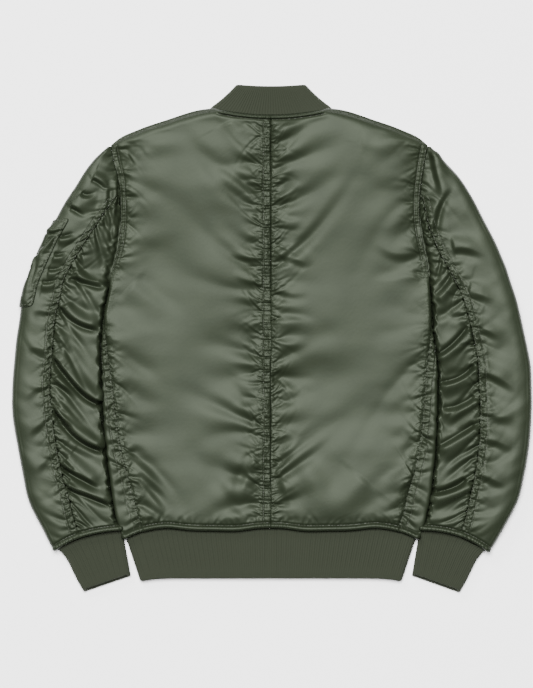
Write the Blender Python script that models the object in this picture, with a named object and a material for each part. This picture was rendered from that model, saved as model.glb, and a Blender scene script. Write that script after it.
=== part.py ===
"""Padded bomber jacket with a centre back seam, laid out flat on its front.

The back faces up. Every panel is a padded wall that lies on the one below it: the fronts and the
lower halves of the sleeves rest on the surface, and the back and the upper halves lie on those.
X runs across the jacket, -X being the wearer's left, Y runs from the hem to the collar, and Z up.
The origin is the middle of the underside. Lengths are millimetres until a mesh is made.
"""

import math
from collections import namedtuple

import bmesh
import bpy
import numpy as np

MM = 0.001

# Heights above the surface
LOWER_WALL = 7.0  # fronts and lower halves of the sleeves
LAYER_GAP = 0.4
UPPER_FLOOR = LOWER_WALL + LAYER_GAP
SEAM_TOP = 12.6  # an upper wall where a seam pinches it
FOLD_MIDDLE = 8.0  # the outermost line of a folded edge
BODY_TOP = 20.5
SLEEVE_TOP = 22.5

# Places along Y
HEM_SEAM = -279.0
HEM_EDGE = -348.0
NECK_BACK = 324.5
NECK_SIDE = 334.0
NECK_FRONT = 264.5
COLLAR_TOP = 366.5
SHOULDER_TIP = 280.0
UNDERARM = 34.0

# Widths from the centre line
NECK_HALF = 82.6
COLLAR_TOP_HALF = 50.0
COLLAR_FRONT_DEPTH = 46.0
COLLAR_DIP = 2.5  # of the middle of its top edge
ZIP_HALF = 5.0
HEM_RIB_HALF = 210.0
HEM_EDGE_HALF = 189.5

SEAM_GAP = 0.3
SLEEVE_CLEAR = 0.5  # from the line where body and sleeve meet to the sleeve

# Ribbed knit, two layers lying on each other
RIB_WALL = 5.0
RIB_LOWER = 0.5 * RIB_WALL
RIB_TURN = 3.2  # radius of the middle of the wall where the rib folds
RIB_INSET = RIB_TURN + 0.5 * RIB_WALL

# Sag of the hem's corners below its middle
HEM_SAG = 15.0
EDGE_SAG = 4.5
SAG_START = 150.0
SAG_SPAN = 60.0
SAG_FADE = 70.0

# Mesh spacing
BODY_ROWS = 60
SLEEVE_STEP = 14.5
BACK_COLUMNS = (0.0, 0.03, 0.08, 0.15, 0.25, 0.37, 0.5, 0.65, 0.8, 0.87, 0.93, 0.97, 1.0)
OUTER_COLUMNS = (0.0, 0.08, 0.2, 0.33, 0.47, 0.6, 0.73, 0.86, 1.0)
INNER_COLUMNS = (0.0, 0.12, 0.3, 0.48, 0.66, 0.84, 1.0)
FOLD_ANGLES = (60.0, 30.0, 0.0, -30.0, -60.0)
STRIP_STEPS = 5
FRONT_SAG_PART = 0.73  # place across a front where the hem starts to sag
RIB_SAG_PART = 0.734  # the same on the hem rib
FRONT_NECK_ROWS = (264.5, 265.3, 267.0, 270.0, 274.5, 280.0, 287.0, 296.0, 305.0, 318.0, 330.0)

# Outline of the body: edge is half its width, strip is how far the front wraps onto the back
BodyRow = namedtuple("BodyRow", "y left_edge left_strip right_edge right_strip")
BODY = (
    BodyRow(-279, 211.0, 24.0, 211.0, 24.0),
    BodyRow(-265, 219.0, 31.0, 219.0, 33.0),
    BodyRow(-229, 229.8, 31.0, 230.5, 34.0),
    BodyRow(-198, 234.2, 26.9, 234.9, 29.0),
    BodyRow(-166, 238.2, 22.2, 238.2, 25.0),
    BodyRow(-124, 242.2, 19.6, 240.4, 21.5),
    BodyRow(-69, 244.5, 15.4, 241.6, 19.0),
    BodyRow(-40, 245.0, 11.6, 241.3, 15.8),
    BodyRow(-10, 245.5, 7.7, 237.1, 8.0),
    BodyRow(12, 244.5, 3.8, 234.6, 2.8),
    BodyRow(34, 242.2, 0.0, 232.9, 0.0),
    BodyRow(69, 235.3, 0.0, 231.0, 0.0),
    BodyRow(93, 232.0, 0.0, 228.1, 0.0),
    BodyRow(112, 226.2, 0.0, 225.5, 0.0),
    BodyRow(135, 220.8, 0.0, 220.4, 0.0),
    BodyRow(163, 218.1, 0.0, 216.0, 0.0),
    BodyRow(199, 218.4, 0.0, 215.3, 0.0),
    BodyRow(228, 220.8, 0.0, 218.2, 0.0),
    BodyRow(256, 227.7, 0.0, 222.6, 0.0),
    BodyRow(280, 232.0, 0.0, 226.9, 0.0),
)

# Drop of the shoulder line below the side of the neck, by the fraction of the way to its tip
ShoulderRow = namedtuple("ShoulderRow", "fraction drop")
SHOULDER = (
    ShoulderRow(0.0, 0.0),
    ShoulderRow(0.14, 2.8),
    ShoulderRow(0.46, 17.3),
    ShoulderRow(0.74, 31.8),
    ShoulderRow(0.94, 46.3),
    ShoulderRow(1.0, 54.0),
)

# Sections across each sleeve, from the shoulder to the cuff. inner_y is where the section leaves
# the body; seam and outer are the back seam and the outer fold, outwards and upwards from there.
SleeveRow = namedtuple("SleeveRow", "inner_y seam_out seam_up outer_out outer_up")
LEFT_SLEEVE = (
    SleeveRow(278, 0, 0, 5, 0),
    SleeveRow(262, 0, 0, 29, -4),
    SleeveRow(241, 0, 0, 53, -10),
    SleeveRow(215, 0, 0, 77, -14),
    SleeveRow(186, 24, -5, 96, -17),
    SleeveRow(154, 46, -8, 112, -16),
    SleeveRow(125, 60, -8, 120, -16),
    SleeveRow(96, 67, -8, 123, -14),
    SleeveRow(64, 69, -5, 125, -8),
    SleeveRow(34, 70, -6, 123, -9),
    SleeveRow(-10, 70, -1, 125, -2),
    SleeveRow(-62, 75, 0, 130, 0),
    SleeveRow(-114, 74, 3, 132, 4),
    SleeveRow(-162, 71, 3, 129, 6),
    SleeveRow(-205, 68, 3, 126, 5),
    SleeveRow(-230, 63, 2, 121, -5),
    SleeveRow(-252, 60.5, -3.5, 106, -18),
    SleeveRow(-268.5, 58, -9.5, 97.5, -28),
)
RIGHT_SLEEVE = (
    SleeveRow(278, 0, 0, 5, 0),
    SleeveRow(263, 0, 0, 23, -1),
    SleeveRow(244, 0, 0, 52, -10),
    SleeveRow(218, 0, 0, 76, -16),
    SleeveRow(189, 8, -3, 93, -16),
    SleeveRow(157, 15, -4, 107, -14),
    SleeveRow(128, 23, -6, 114, -13),
    SleeveRow(99, 34, -6, 119, -13),
    SleeveRow(67, 45, -4, 124, -8),
    SleeveRow(34, 53, -3, 130, -6),
    SleeveRow(-10, 58, 0, 134, 0),
    SleeveRow(-62, 59, 0, 136, 0),
    SleeveRow(-114, 62, 3, 137, 4),
    SleeveRow(-162, 62, 3, 136, 6),
    SleeveRow(-205, 60, 3, 133, 5),
    SleeveRow(-230, 57, 1, 127, -4),
    SleeveRow(-252, 56, -2.5, 111, -18),
    SleeveRow(-268.5, 54.5, -7.5, 99, -30),
)
SEAM_LEAVES = 3.0  # row of both tables at which the back seam leaves the armhole
UNDER_SLEEVE_START = 3.25

# Largest folds: a ridge from (x1, y1) to (x2, y2), x outwards, with a trough along each side
Fold = namedtuple("Fold", "x1 y1 x2 y2 width height")
BODY_FOLDS = (
    Fold(213, -172, 146, -264, 11, 4.1),
    Fold(190, -168, 112, -262, 14, 3.1),
    Fold(12, -176, 52, -264, 11, 3.7),
    Fold(30, -150, 92, -262, 15, 2.7),
    Fold(10, 96, 92, 130, 13, 2.4),
    Fold(10, 18, 84, 26, 13, 2.4),
    Fold(10, -62, 90, -70, 14, 2.4),
    Fold(218, 108, 150, 92, 13, 2.5),
    Fold(236, -40, 168, -62, 13, 2.7),
    Fold(96, 306, 40, 262, 12, 2.9),
    Fold(205, 270, 128, 284, 13, 2.7),
)
SLEEVE_FOLDS = (
    Fold(318, -20, 250, -84, 9, 4.2),
    Fold(316, -62, 248, -122, 9, 3.1),
    Fold(314, -94, 246, -158, 9, 3.9),
    Fold(304, -150, 240, -196, 10, 3.4),
    Fold(298, -210, 232, -240, 9, 3.9),
    Fold(305, 56, 256, 22, 8, 3.6),
    Fold(300, 92, 254, 62, 8, 3.4),
    Fold(372, 40, 318, 24, 10, 2.6),
    Fold(374, -36, 322, -30, 11, 2.9),
    Fold(372, -92, 322, -82, 11, 3.1),
    Fold(368, -150, 318, -134, 10, 2.9),
    Fold(356, -214, 306, -190, 10, 2.9),
    Fold(336, -262, 292, -238, 9, 3.1),
    Fold(236, 270, 252, 196, 7, 3.6),
    Fold(252, 250, 276, 190, 9, 2.9),
)
GATHER_HEIGHT = 2.0
GATHER_REACH = 13.0

# How the padding rounds off towards folds and seams: distance over which it does so
BODY_FOLD_REACH = 28.0
ARMHOLE_REACH = 20.0
CENTRE_PINCH = 0.8  # part of the loft that the centre seam takes away
CENTRE_REACH = 15.0
HEM_REACH = 14.0
TOP_REACH = 12.0
TOP_TURN = 1.6  # how far the edge turns down at the neck and shoulders
SIDE_SEAM_DEPTH = 1.6
SIDE_SEAM_REACH = 5.0
SLEEVE_FOLD_REACH = 48.0
SLEEVE_SEAM_DEPTH = 2.6
SLEEVE_SEAM_REACH = 7.0
SLEEVE_EASE = 0.45  # rows over which a sleeve swells above its cuff
CLEFT_DEPTH = 4.5  # hollow of the sleeve beside the armhole
CLEFT_PLACE = 9.0
CLEFT_START = 3.6
CLEFT_END = 9.4
LEAST_WALL = 1.6

# Rolled edges
THIN_EDGE = 1.5  # half the front's edge where the sleeve covers it
SLEEVE_FOLD_RADIUS = 9.0
RIB_BEVEL = 1.6

Side = namedtuple("Side", "name sign edge strip sleeve")
LEFT = Side("left", -1.0, "left_edge", "left_strip", LEFT_SLEEVE)
RIGHT = Side("right", 1.0, "right_edge", "right_strip", RIGHT_SLEEVE)

# Sleeve pocket, by the sleeve rows it reaches between
POCKET_START = 3.9
POCKET_END = 8.4
POCKET_COLUMN = 6  # of OUTER_COLUMNS, its edge towards the back seam
POCKET_LAST = 12  # last point of the section that it covers, below the fold
POCKET_LIFT = 0.3
POCKET_WALL = 2.4

Finish = namedtuple("Finish", "name colour roughness metallic")
SHELL = Finish("nylon_satin_sage", (0.115, 0.135, 0.088), 0.42, 0.0)
RIB = Finish("rib_knit_sage", (0.062, 0.073, 0.047), 0.85, 0.0)
TAPE = Finish("zip_tape", (0.055, 0.064, 0.042), 0.8, 0.0)
METAL = Finish("zip_metal", (0.55, 0.54, 0.5), 0.32, 1.0)


# ---- curves and profiles ----


def ease(t):
    """0 below t = 0, 1 above t = 1, smooth between."""
    t = np.clip(t, 0.0, 1.0)
    return t * t * (3.0 - 2.0 * t)


def smooth_through(knots, values, at):
    """Smooth curve through the values at rising knots."""
    knots = np.asarray(knots, float)
    values = np.asarray(values, float)
    slopes = np.gradient(values, knots)
    at = np.clip(at, knots[0], knots[-1])
    i = np.clip(np.searchsorted(knots, at) - 1, 0, len(knots) - 2)
    span = knots[i + 1] - knots[i]
    t = (at - knots[i]) / span
    rise = t * t * (3 - 2 * t)
    start = t * (1 - t) ** 2 * slopes[i] * span
    end = t * t * (t - 1) * slopes[i + 1] * span
    return values[i] * (1 - rise) + values[i + 1] * rise + start + end


def column(rows, name):
    return [getattr(row, name) for row in rows]


def edge_x(side, y):
    """Half width of the body at this height: its fold, or its armhole above the underarm."""
    return float(smooth_through(column(BODY, "y"), column(BODY, side.edge), y))


def strip_width(side, y):
    """How far the front panel shows on the back, between the side seam and the fold."""
    return float(np.interp(y, column(BODY, "y"), column(BODY, side.strip)))


def shoulder_y(side, x):
    tip = edge_x(side, SHOULDER_TIP)
    fraction = (x - NECK_HALF) / (tip - NECK_HALF)
    return NECK_SIDE - float(
        smooth_through(column(SHOULDER, "fraction"), column(SHOULDER, "drop"), fraction)
    )


def shoulder_x(side, y):
    tip = edge_x(side, SHOULDER_TIP)
    fraction = np.interp(NECK_SIDE - y, column(SHOULDER, "drop"), column(SHOULDER, "fraction"))
    return NECK_HALF + (tip - NECK_HALF) * float(fraction)


def neck_y(x):
    return NECK_BACK + (NECK_SIDE - NECK_BACK) * (x / NECK_HALF) ** 2


def top_y(side, x):
    return neck_y(x) if x < NECK_HALF else shoulder_y(side, x)


def hem_sag(x, y):
    """How far the corners of the hem hang below its middle."""
    side = min(max((abs(x) - SAG_START) / SAG_SPAN, 0.0), 1.0)
    if y < HEM_SEAM:
        along = (HEM_SEAM - y) / (HEM_SEAM - HEM_EDGE)
        return side * (HEM_SAG + (EDGE_SAG - HEM_SAG) * along)
    return side * HEM_SAG * (1.0 - ease((y - HEM_SEAM) / SAG_FADE))


def folded_part(y):
    """1 where the side of the body is a fold, 0 where it is the armhole."""
    return float(ease((UNDERARM + 4.0 - y) / 20.0))


def roll(distance, reach):
    """Quarter of an ellipse: 0 at a folded edge, 1 from reach inwards."""
    t = 1.0 - np.clip(distance / reach, 0.0, 1.0)
    return math.sqrt(max(0.0, 1.0 - t * t))


def fold_relief(folds, x, y):
    """Height of the folds at a point: each is a ridge with a trough along each side."""
    total = 0.0
    for fold in folds:
        run = np.array((fold.x2 - fold.x1, fold.y2 - fold.y1), float)
        away = np.array((x - fold.x1, y - fold.y1), float)
        length = math.hypot(*run)
        along = float(away @ run) / length**2
        if not 0.0 < along < 1.0:
            continue
        across = float(away[0] * run[1] - away[1] * run[0]) / length / fold.width
        shape = (1.0 - 0.6 * across * across) * math.exp(-0.8 * across * across)
        total += fold.height * shape * math.sin(math.pi * along) ** 0.7
    return total


def gather(row, distance):
    """Gathers along a seam, one for every two rows, fading away from it."""
    wave = 1.0 if row % 2 else -1.0
    return wave * GATHER_HEIGHT * math.exp(-abs(distance) / GATHER_REACH)


def body_top(side, x, y, row):
    """Height of the back of the body, x outwards from the centre seam."""
    edge = edge_x(side, y) if y < SHOULDER_TIP else shoulder_x(side, y)
    to_edge = max(edge - x, 0.0)
    to_side_seam = edge - strip_width(side, y) - x
    to_hem = y - HEM_SEAM
    to_top = max(top_y(side, x) - y, 0.0)
    folded = folded_part(y)
    rounded = FOLD_MIDDLE + (BODY_TOP - FOLD_MIDDLE) * roll(to_edge, BODY_FOLD_REACH)
    sewn = SEAM_TOP + (BODY_TOP - SEAM_TOP) * (1.0 - math.exp(-to_edge / ARMHOLE_REACH))
    height = folded * rounded + (1.0 - folded) * sewn
    pinch = 1.0 - CENTRE_PINCH * math.exp(-x / CENTRE_REACH)
    pinch *= 1.0 - math.exp(-(to_hem + 3.0) / HEM_REACH)
    pinch *= 1.0 - math.exp(-(to_top + 1.0) / TOP_REACH)
    above = max(height - SEAM_TOP, 0.0)
    height += above * (pinch - 1.0)
    inside = min(1.0, to_edge / 30.0, to_hem / 20.0, to_top / 20.0)
    height += max(inside, 0.0) * fold_relief(BODY_FOLDS, x, y)
    height += gather(row, x) * min(1.0, to_hem / TOP_REACH, to_top / TOP_REACH)
    if folded > 0.0:
        near = math.exp(-((to_side_seam / SIDE_SEAM_REACH) ** 2))
        off_fold = folded * min(1.0, to_edge / TOP_REACH)
        height -= off_fold * near * SIDE_SEAM_DEPTH
        height += off_fold * 0.7 * gather(row, to_side_seam)
    else:
        height += 0.5 * gather(row, to_edge) * min(1.0, to_top / TOP_REACH)
    return height - TOP_TURN * math.exp(-2.0 * to_top / TOP_REACH)


# ---- meshes ----


def finish_material(node, finish):
    material = bpy.data.materials.new(node + "_" + finish.name)
    material.use_nodes = True
    shader = material.node_tree.nodes["Principled BSDF"]
    shader.inputs["Base Color"].default_value = (*finish.colour, 1.0)
    shader.inputs["Roughness"].default_value = finish.roughness
    shader.inputs["Metallic"].default_value = finish.metallic
    return material


def make_object(node, bm, finish, smooth=True):
    """Closes a bmesh in millimetres into one object in metres."""
    bmesh.ops.recalc_face_normals(bm, faces=bm.faces)
    bmesh.ops.scale(bm, vec=(MM, MM, MM), verts=bm.verts)
    mesh = bpy.data.meshes.new(node)
    bm.to_mesh(mesh)
    bm.free()
    mesh.materials.append(finish_material(node, finish))
    obj = bpy.data.objects.new(node, mesh)
    bpy.context.scene.collection.objects.link(obj)
    if smooth:
        mesh.shade_smooth()
        mesh.set_sharp_from_angle(angle=math.radians(50))
    return obj


def bridge_rings(bm, first, second):
    count = len(first)
    for i in range(count):
        j = (i + 1) % count
        bm.faces.new((first[i], first[j], second[j], second[i]))


def close_end(bm, ring, bend):
    """Face across the end of a loft, in two flat parts where the section bends."""
    if bend:
        bm.faces.new(ring[: bend + 1] + ring[-bend - 1 :])
        bm.faces.new(ring[bend:-bend])
    else:
        bm.faces.new(ring)


def loft(node, sections, finish, closed=False, bend=0):
    """A solid through closed sections that all have the same number of points."""
    bm = bmesh.new()
    rings = [[bm.verts.new(point) for point in section] for section in sections]
    for first, second in zip(rings, rings[1:]):
        bridge_rings(bm, first, second)
    if closed:
        bridge_rings(bm, rings[-1], rings[0])
    else:
        close_end(bm, rings[0], bend)
        close_end(bm, rings[-1], bend)
    bmesh.ops.dissolve_limit(bm, angle_limit=0.0005, verts=bm.verts, edges=bm.edges)
    return make_object(node, bm, finish)


def lying_wall(node, grid, floor, finish):
    """A wall with a modelled top, given as rows of points, and a flat underside."""
    bm = bmesh.new()
    rows = [[bm.verts.new(point) for point in row] for row in grid]
    for lower, upper in zip(rows, rows[1:]):
        for i in range(len(lower) - 1):
            bm.faces.new((lower[i], lower[i + 1], upper[i + 1], upper[i]))
    rim = rows[0] + [row[-1] for row in rows[1:]] + rows[-1][-2::-1]
    rim += [row[0] for row in rows[-2:0:-1]]
    under = [bm.verts.new((vert.co.x, vert.co.y, floor)) for vert in rim]
    bridge_rings(bm, rim, under)
    bm.faces.new(under)
    return make_object(node, bm, finish)


# ---- body ----


def back_grid(side):
    """Rows of points on the top of one half of the back, from hem to neck and shoulder."""
    tip = edge_x(side, SHOULDER_TIP)
    neck_part = NECK_HALF / tip
    grid = []
    for row in range(BODY_ROWS + 1):
        v = row / BODY_ROWS
        centre_y = HEM_SEAM + v * (NECK_BACK - HEM_SEAM)
        side_y = HEM_SEAM + v * (SHOULDER_TIP - HEM_SEAM)
        side_x = edge_x(side, side_y) - strip_width(side, side_y)
        bottom_x = edge_x(side, HEM_SEAM) - strip_width(side, HEM_SEAM)
        points = []
        for u in BACK_COLUMNS:
            if u < neck_part:
                end_x = NECK_HALF * u / neck_part
            else:
                end_x = NECK_HALF + (tip - NECK_HALF) * (u - neck_part) / (1 - neck_part)
            end_y = top_y(side, end_x)
            straight_x = (1 - v) * u * bottom_x + v * end_x
            straight_y = (1 - v) * HEM_SEAM + v * end_y
            corner_x = u * ((1 - v) * bottom_x + v * tip)
            corner_y = (1 - v) * HEM_SEAM + v * ((1 - u) * NECK_BACK + u * SHOULDER_TIP)
            x = straight_x + u * side_x - corner_x
            y = straight_y + (1 - u) * centre_y + u * side_y - corner_y
            height = body_top(side, x, y, row)
            x = max(x, 0.5 * SEAM_GAP)
            if u == 1.0:
                x = side_x - 0.5 * SEAM_GAP
            points.append((side.sign * x, y - hem_sag(x, y), height))
        grid.append(points)
    return grid


def make_back(side):
    lying_wall("back_panel_" + side.name, back_grid(side), UPPER_FLOOR, SHELL)


def front_section(side, y, row):
    """Section across a front: a wall on the surface, its side rolled up onto the back."""
    if y <= SHOULDER_TIP:
        outer = edge_x(side, y) + 0.5 * SEAM_GAP
    else:
        outer = shoulder_x(side, y)
    inner = ZIP_HALF
    if y > NECK_FRONT:
        rise = (y - NECK_FRONT) / (NECK_SIDE - NECK_FRONT)
        inner += (NECK_HALF - ZIP_HALF) * math.sqrt(1.0 - (1.0 - rise) ** 2) + 3.0 * SEAM_GAP
    folded = folded_part(y)
    strip = strip_width(side, y) if y < UNDERARM else 0.0
    radius = THIN_EDGE + (FOLD_MIDDLE - THIN_EDGE) * folded
    bend = inner + FRONT_SAG_PART * (outer - radius - inner)
    section = [(inner, 0.0), (bend, 0.0), (outer - radius, 0.0)]
    for angle in (-60.0, -30.0, 0.0):
        turn = math.radians(angle)
        x = outer - radius + radius * math.cos(turn)
        section.append((x, radius * (1.0 + math.sin(turn))))
    for step in range(1, STRIP_STEPS + 1):
        part = step / STRIP_STEPS
        x = outer - strip * part
        plain = THIN_EDGE + (LOWER_WALL - THIN_EDGE) * part
        wrapped = body_top(side, x, y, row)
        section.append((x, plain + (wrapped - plain) * folded))
    section.append((outer - strip - 0.05, LOWER_WALL))
    section.append((bend, LOWER_WALL))
    section.append((inner, LOWER_WALL))
    return [(side.sign * x, y - hem_sag(x, y), z) for x, z in section]


def make_front(side):
    sections = []
    for row in range(BODY_ROWS + 1):
        y = HEM_SEAM + (SHOULDER_TIP - HEM_SEAM) * row / BODY_ROWS
        if y < UNDERARM + 10.0 or (row % 2 == 0 and y < NECK_FRONT):
            sections.append(front_section(side, y, row))
    for y in FRONT_NECK_ROWS:
        sections.append(front_section(side, y, 0))
    loft("front_panel_" + side.name, sections, SHELL, bend=1)


# ---- sleeves ----


def sleeve_line(side, t):
    """Inner, seam and outer points of the section at row t of the sleeve's table."""
    rows = side.sleeve
    knots = range(len(rows))
    inner_y, seam_out, seam_up, outer_out, outer_up = (
        float(smooth_through(knots, column(rows, name), t)) for name in SleeveRow._fields
    )
    if t <= SEAM_LEAVES:
        seam_out = 0.0
        seam_up = 0.0
    inner_x = edge_x(side, inner_y) + SLEEVE_CLEAR
    inner = np.array((inner_x, inner_y - hem_sag(inner_x, inner_y)))
    seam = inner + (max(seam_out, 0.0), seam_up)
    outer = inner + (outer_out, outer_up)
    return inner, seam, outer


def sleeve_stations(side):
    """Rows of the sleeve's table, a step apart along its middle."""
    fine = np.linspace(0.0, len(side.sleeve) - 1.0, 400)
    middle = []
    for t in fine:
        inner, _, outer = sleeve_line(side, t)
        middle.append(0.5 * (inner + outer))
    lengths = np.linalg.norm(np.diff(middle, axis=0), axis=1)
    along = np.concatenate(([0.0], np.cumsum(lengths)))
    count = round(along[-1] / SLEEVE_STEP)
    return np.interp(np.linspace(0.0, along[-1], count + 1), along, fine)


def sleeve_top(side, t, point, row):
    """Height of the sleeve's upper half at a point of the section at row t."""
    inner, seam, outer = sleeve_line(side, t)
    width = float(np.linalg.norm(outer - inner))
    to_inner = float(np.linalg.norm(point - inner))
    to_outer = float(np.linalg.norm(point - outer))
    to_seam = float(np.linalg.norm(point - seam))
    folded = folded_part(inner[1])
    reach = min(SLEEVE_FOLD_REACH, 0.5 * width)
    to_cuff = float(len(side.sleeve) - 1 - t)
    swell = 1.0 - math.exp(-(to_cuff + 0.05) / SLEEVE_EASE)
    full = SEAM_TOP + (SLEEVE_TOP - SEAM_TOP) * swell
    arch = FOLD_MIDDLE + (full - FOLD_MIDDLE) * roll(to_outer, reach)
    rounded = FOLD_MIDDLE + (arch - FOLD_MIDDLE) * roll(to_inner, reach)
    sewn = SEAM_TOP + (arch - SEAM_TOP) * (1.0 - math.exp(-to_inner / ARMHOLE_REACH))
    height = folded * rounded + (1.0 - folded) * sewn
    cleft = ease((t - CLEFT_START) / 1.5) * ease((CLEFT_END - t) / 1.5)
    height -= CLEFT_DEPTH * cleft * math.exp(-((to_inner / CLEFT_PLACE - 1.0) ** 2))
    inside = min(1.0, to_outer / 22.0, to_inner / 10.0, 1.2 * to_cuff)
    height += max(inside, 0.0) * fold_relief(SLEEVE_FOLDS, point[0], point[1])
    if t > SEAM_LEAVES:
        near = min(1.0, to_cuff, t - SEAM_LEAVES)
        height -= SLEEVE_SEAM_DEPTH * near * math.exp(-to_seam / SLEEVE_SEAM_REACH)
        height += gather(row, to_seam) * near
    return max(height, UPPER_FLOOR + LEAST_WALL)


def fold_points(middle, direction, length, radius, top):
    """Half round edge from the top of a section down to the surface it lies on."""
    points = []
    for angle in FOLD_ANGLES:
        turn = math.radians(angle)
        place = middle + direction * (length - radius + radius * math.cos(turn))
        if turn >= 0.0:
            z = FOLD_MIDDLE + (top - FOLD_MIDDLE) * math.sin(turn)
        else:
            z = FOLD_MIDDLE * (1.0 + math.sin(turn))
        points.append((*place, z))
    return points


def layered_section(side, t, row, start, end, columns, radius, web):
    """Section of a sleeve panel that lies on itself: an upper wall from start to end, the edge at
    end, and a lower wall back below start, with a narrow gap between the walls."""
    length = float(np.linalg.norm(end - start))
    direction = (end - start) / length
    section = []
    for part in columns:
        place = start + direction * part * (length - radius)
        section.append((*place, sleeve_top(side, t, place, row)))
    section += fold_points(start, direction, length, radius, section[-1][2])
    section.append((*(end - direction * radius), 0.0))
    inside = end - direction * web
    section.append((*start, 0.0))
    section.append((*start, LOWER_WALL))
    section.append((*inside, LOWER_WALL))
    section.append((*inside, UPPER_FLOOR))
    section.append((*start, UPPER_FLOOR))
    return [(side.sign * x, y, z) for x, y, z in section]


def upper_sleeve_section(side, t, row):
    inner, seam, outer = sleeve_line(side, t)
    away = (outer - inner) / np.linalg.norm(outer - inner)
    start = seam + 0.5 * SEAM_GAP * away
    width = float(np.linalg.norm(outer - start))
    radius = min(SLEEVE_FOLD_RADIUS, 0.4 * width)
    web = min(SLEEVE_FOLD_RADIUS, 0.6 * width)
    return layered_section(side, t, row, start, outer, OUTER_COLUMNS, radius, web)


def under_sleeve_section(side, t, row):
    inner, seam, outer = sleeve_line(side, t)
    away = (outer - inner) / np.linalg.norm(outer - inner)
    start = seam - 0.5 * SEAM_GAP * away
    folded = folded_part(inner[1])
    width = float(np.linalg.norm(start - inner))
    radius = (0.05 + 0.95 * folded) * min(SLEEVE_FOLD_RADIUS, 0.4 * width)
    web = min(4.0 + 5.0 * folded, 0.5 * width)
    return layered_section(side, t, row, start, inner, INNER_COLUMNS, radius, web)


def make_sleeve(side):
    stations = sleeve_stations(side)
    upper = [upper_sleeve_section(side, t, row) for row, t in enumerate(stations)]
    under = [
        under_sleeve_section(side, t, row)
        for row, t in enumerate(stations)
        if t >= UNDER_SLEEVE_START
    ]
    loft("sleeve_upper_" + side.name, upper, SHELL)
    loft("sleeve_under_" + side.name, under, SHELL)


def section_normals(sections, rows, columns):
    """Directions out of the sleeve at each of these points of its sections."""
    normals = {}
    points = np.array(sections)
    for r in rows:
        for c in columns:
            across = points[r, c + 1] - points[r, max(c - 1, 0)]
            along = points[r + 1, c] - points[r - 1, c]
            normal = np.cross(along, across)
            normals[r, c] = normal / np.linalg.norm(normal)
    return normals


def make_sleeve_pocket(side):
    """Patch pocket on the upper sleeve, made from the sleeve's own points moved out."""
    stations = sleeve_stations(side)
    sections = [upper_sleeve_section(side, t, row) for row, t in enumerate(stations)]
    rows = [r for r, t in enumerate(stations) if POCKET_START <= t <= POCKET_END]
    columns = range(POCKET_COLUMN, POCKET_LAST + 1)
    normals = section_normals(sections, rows, columns)
    if normals[rows[0], POCKET_COLUMN][2] < 0.0:
        normals = {key: -normal for key, normal in normals.items()}
    rings = []
    for r in rows:
        near = [np.array(sections[r][c]) + POCKET_LIFT * normals[r, c] for c in columns]
        reach = POCKET_LIFT + POCKET_WALL
        far = [np.array(sections[r][c]) + reach * normals[r, c] for c in columns]
        rings.append([tuple(point) for point in near + far[::-1]])
    loft("sleeve_pocket_" + side.name, rings, SHELL)


# ---- ribbed knit ----


def rib_section(base, edge, normal):
    """Section of a rib: from the seam at base to the folded edge of the knit."""
    base = np.array(base, float)
    edge = np.array(edge, float)
    normal = np.array(normal, float) * 0.5 * RIB_WALL
    run = (edge - base) / np.linalg.norm(edge - base)
    shoulder = edge - RIB_BEVEL * run
    places = (
        base - normal,
        base + normal,
        shoulder + normal,
        edge + 0.4 * normal,
        edge - 0.4 * normal,
        shoulder - normal,
    )
    return [tuple(place) for place in places]


def turn_steps(count=5):
    """Angles round a fold of the rib, from its lower layer to its upper one."""
    return [math.radians(-90.0 + 180.0 * (i + 1) / (count + 1)) for i in range(count)]


def hem_point(x, at_edge):
    if at_edge:
        return HEM_EDGE - hem_sag(abs(x) * HEM_RIB_HALF / HEM_EDGE_HALF, HEM_EDGE)
    return HEM_SEAM - SEAM_GAP - hem_sag(x, HEM_SEAM)


def hem_station(part, turn):
    """Section of the hem rib at this part of its half width, -1 to 1, on a layer or a fold."""
    away = math.cos(turn) * math.copysign(1.0, part)
    base_x = part * (HEM_RIB_HALF - RIB_INSET) + RIB_TURN * away
    edge_half = HEM_EDGE_HALF - RIB_INSET
    if abs(base_x) < 2.0 * ZIP_HALF:
        edge_x_here = base_x
    else:
        edge_x_here = part * edge_half + RIB_TURN * away
    z = RIB_LOWER + RIB_TURN + RIB_TURN * math.sin(turn)
    base = (base_x, hem_point(base_x, False), z)
    edge = (edge_x_here, hem_point(edge_x_here, True), z)
    section = rib_section(base, edge, (away, 0.0, math.sin(turn)))
    sewn = [(x, hem_point(x, False), height) for x, _, height in section[:2]]
    return sewn + section[2:]


def make_hem_rib():
    """A band open at the centre front, where it meets the zip on the underside."""
    down = math.radians(-90.0)
    start = ZIP_HALF / (HEM_RIB_HALF - RIB_INSET)
    lower = np.concatenate(
        (np.linspace(start, RIB_SAG_PART, 6), np.linspace(RIB_SAG_PART, 1.0, 4)[1:])
    )
    upper = np.concatenate((-lower[::-1], np.linspace(-start, start, 3)[1:-1], lower))
    stations = [hem_station(-part, down) for part in lower]
    stations += [hem_station(-1.0, turn) for turn in turn_steps()]
    stations += [hem_station(part, -down) for part in upper]
    stations += [hem_station(1.0, turn) for turn in reversed(turn_steps())]
    stations += [hem_station(part, down) for part in lower[::-1]]
    loft("hem_rib", stations, RIB)


def front_neck(part):
    """Seam and top edge of the collar's front, from the side of the neck to the centre."""
    turn = 0.5 * math.pi * part
    base_x = ZIP_HALF + (NECK_HALF - RIB_INSET - ZIP_HALF) * math.cos(turn)
    base_y = NECK_FRONT + (NECK_SIDE - NECK_FRONT) * (1.0 - math.sin(turn))
    edge_x_here = ZIP_HALF + (COLLAR_TOP_HALF - RIB_INSET - ZIP_HALF) * math.cos(turn)
    front_top = NECK_FRONT + COLLAR_FRONT_DEPTH
    edge_y = front_top + (COLLAR_TOP - front_top) * (1.0 - math.sin(turn))
    return (base_x, base_y), (edge_x_here, edge_y)


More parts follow.
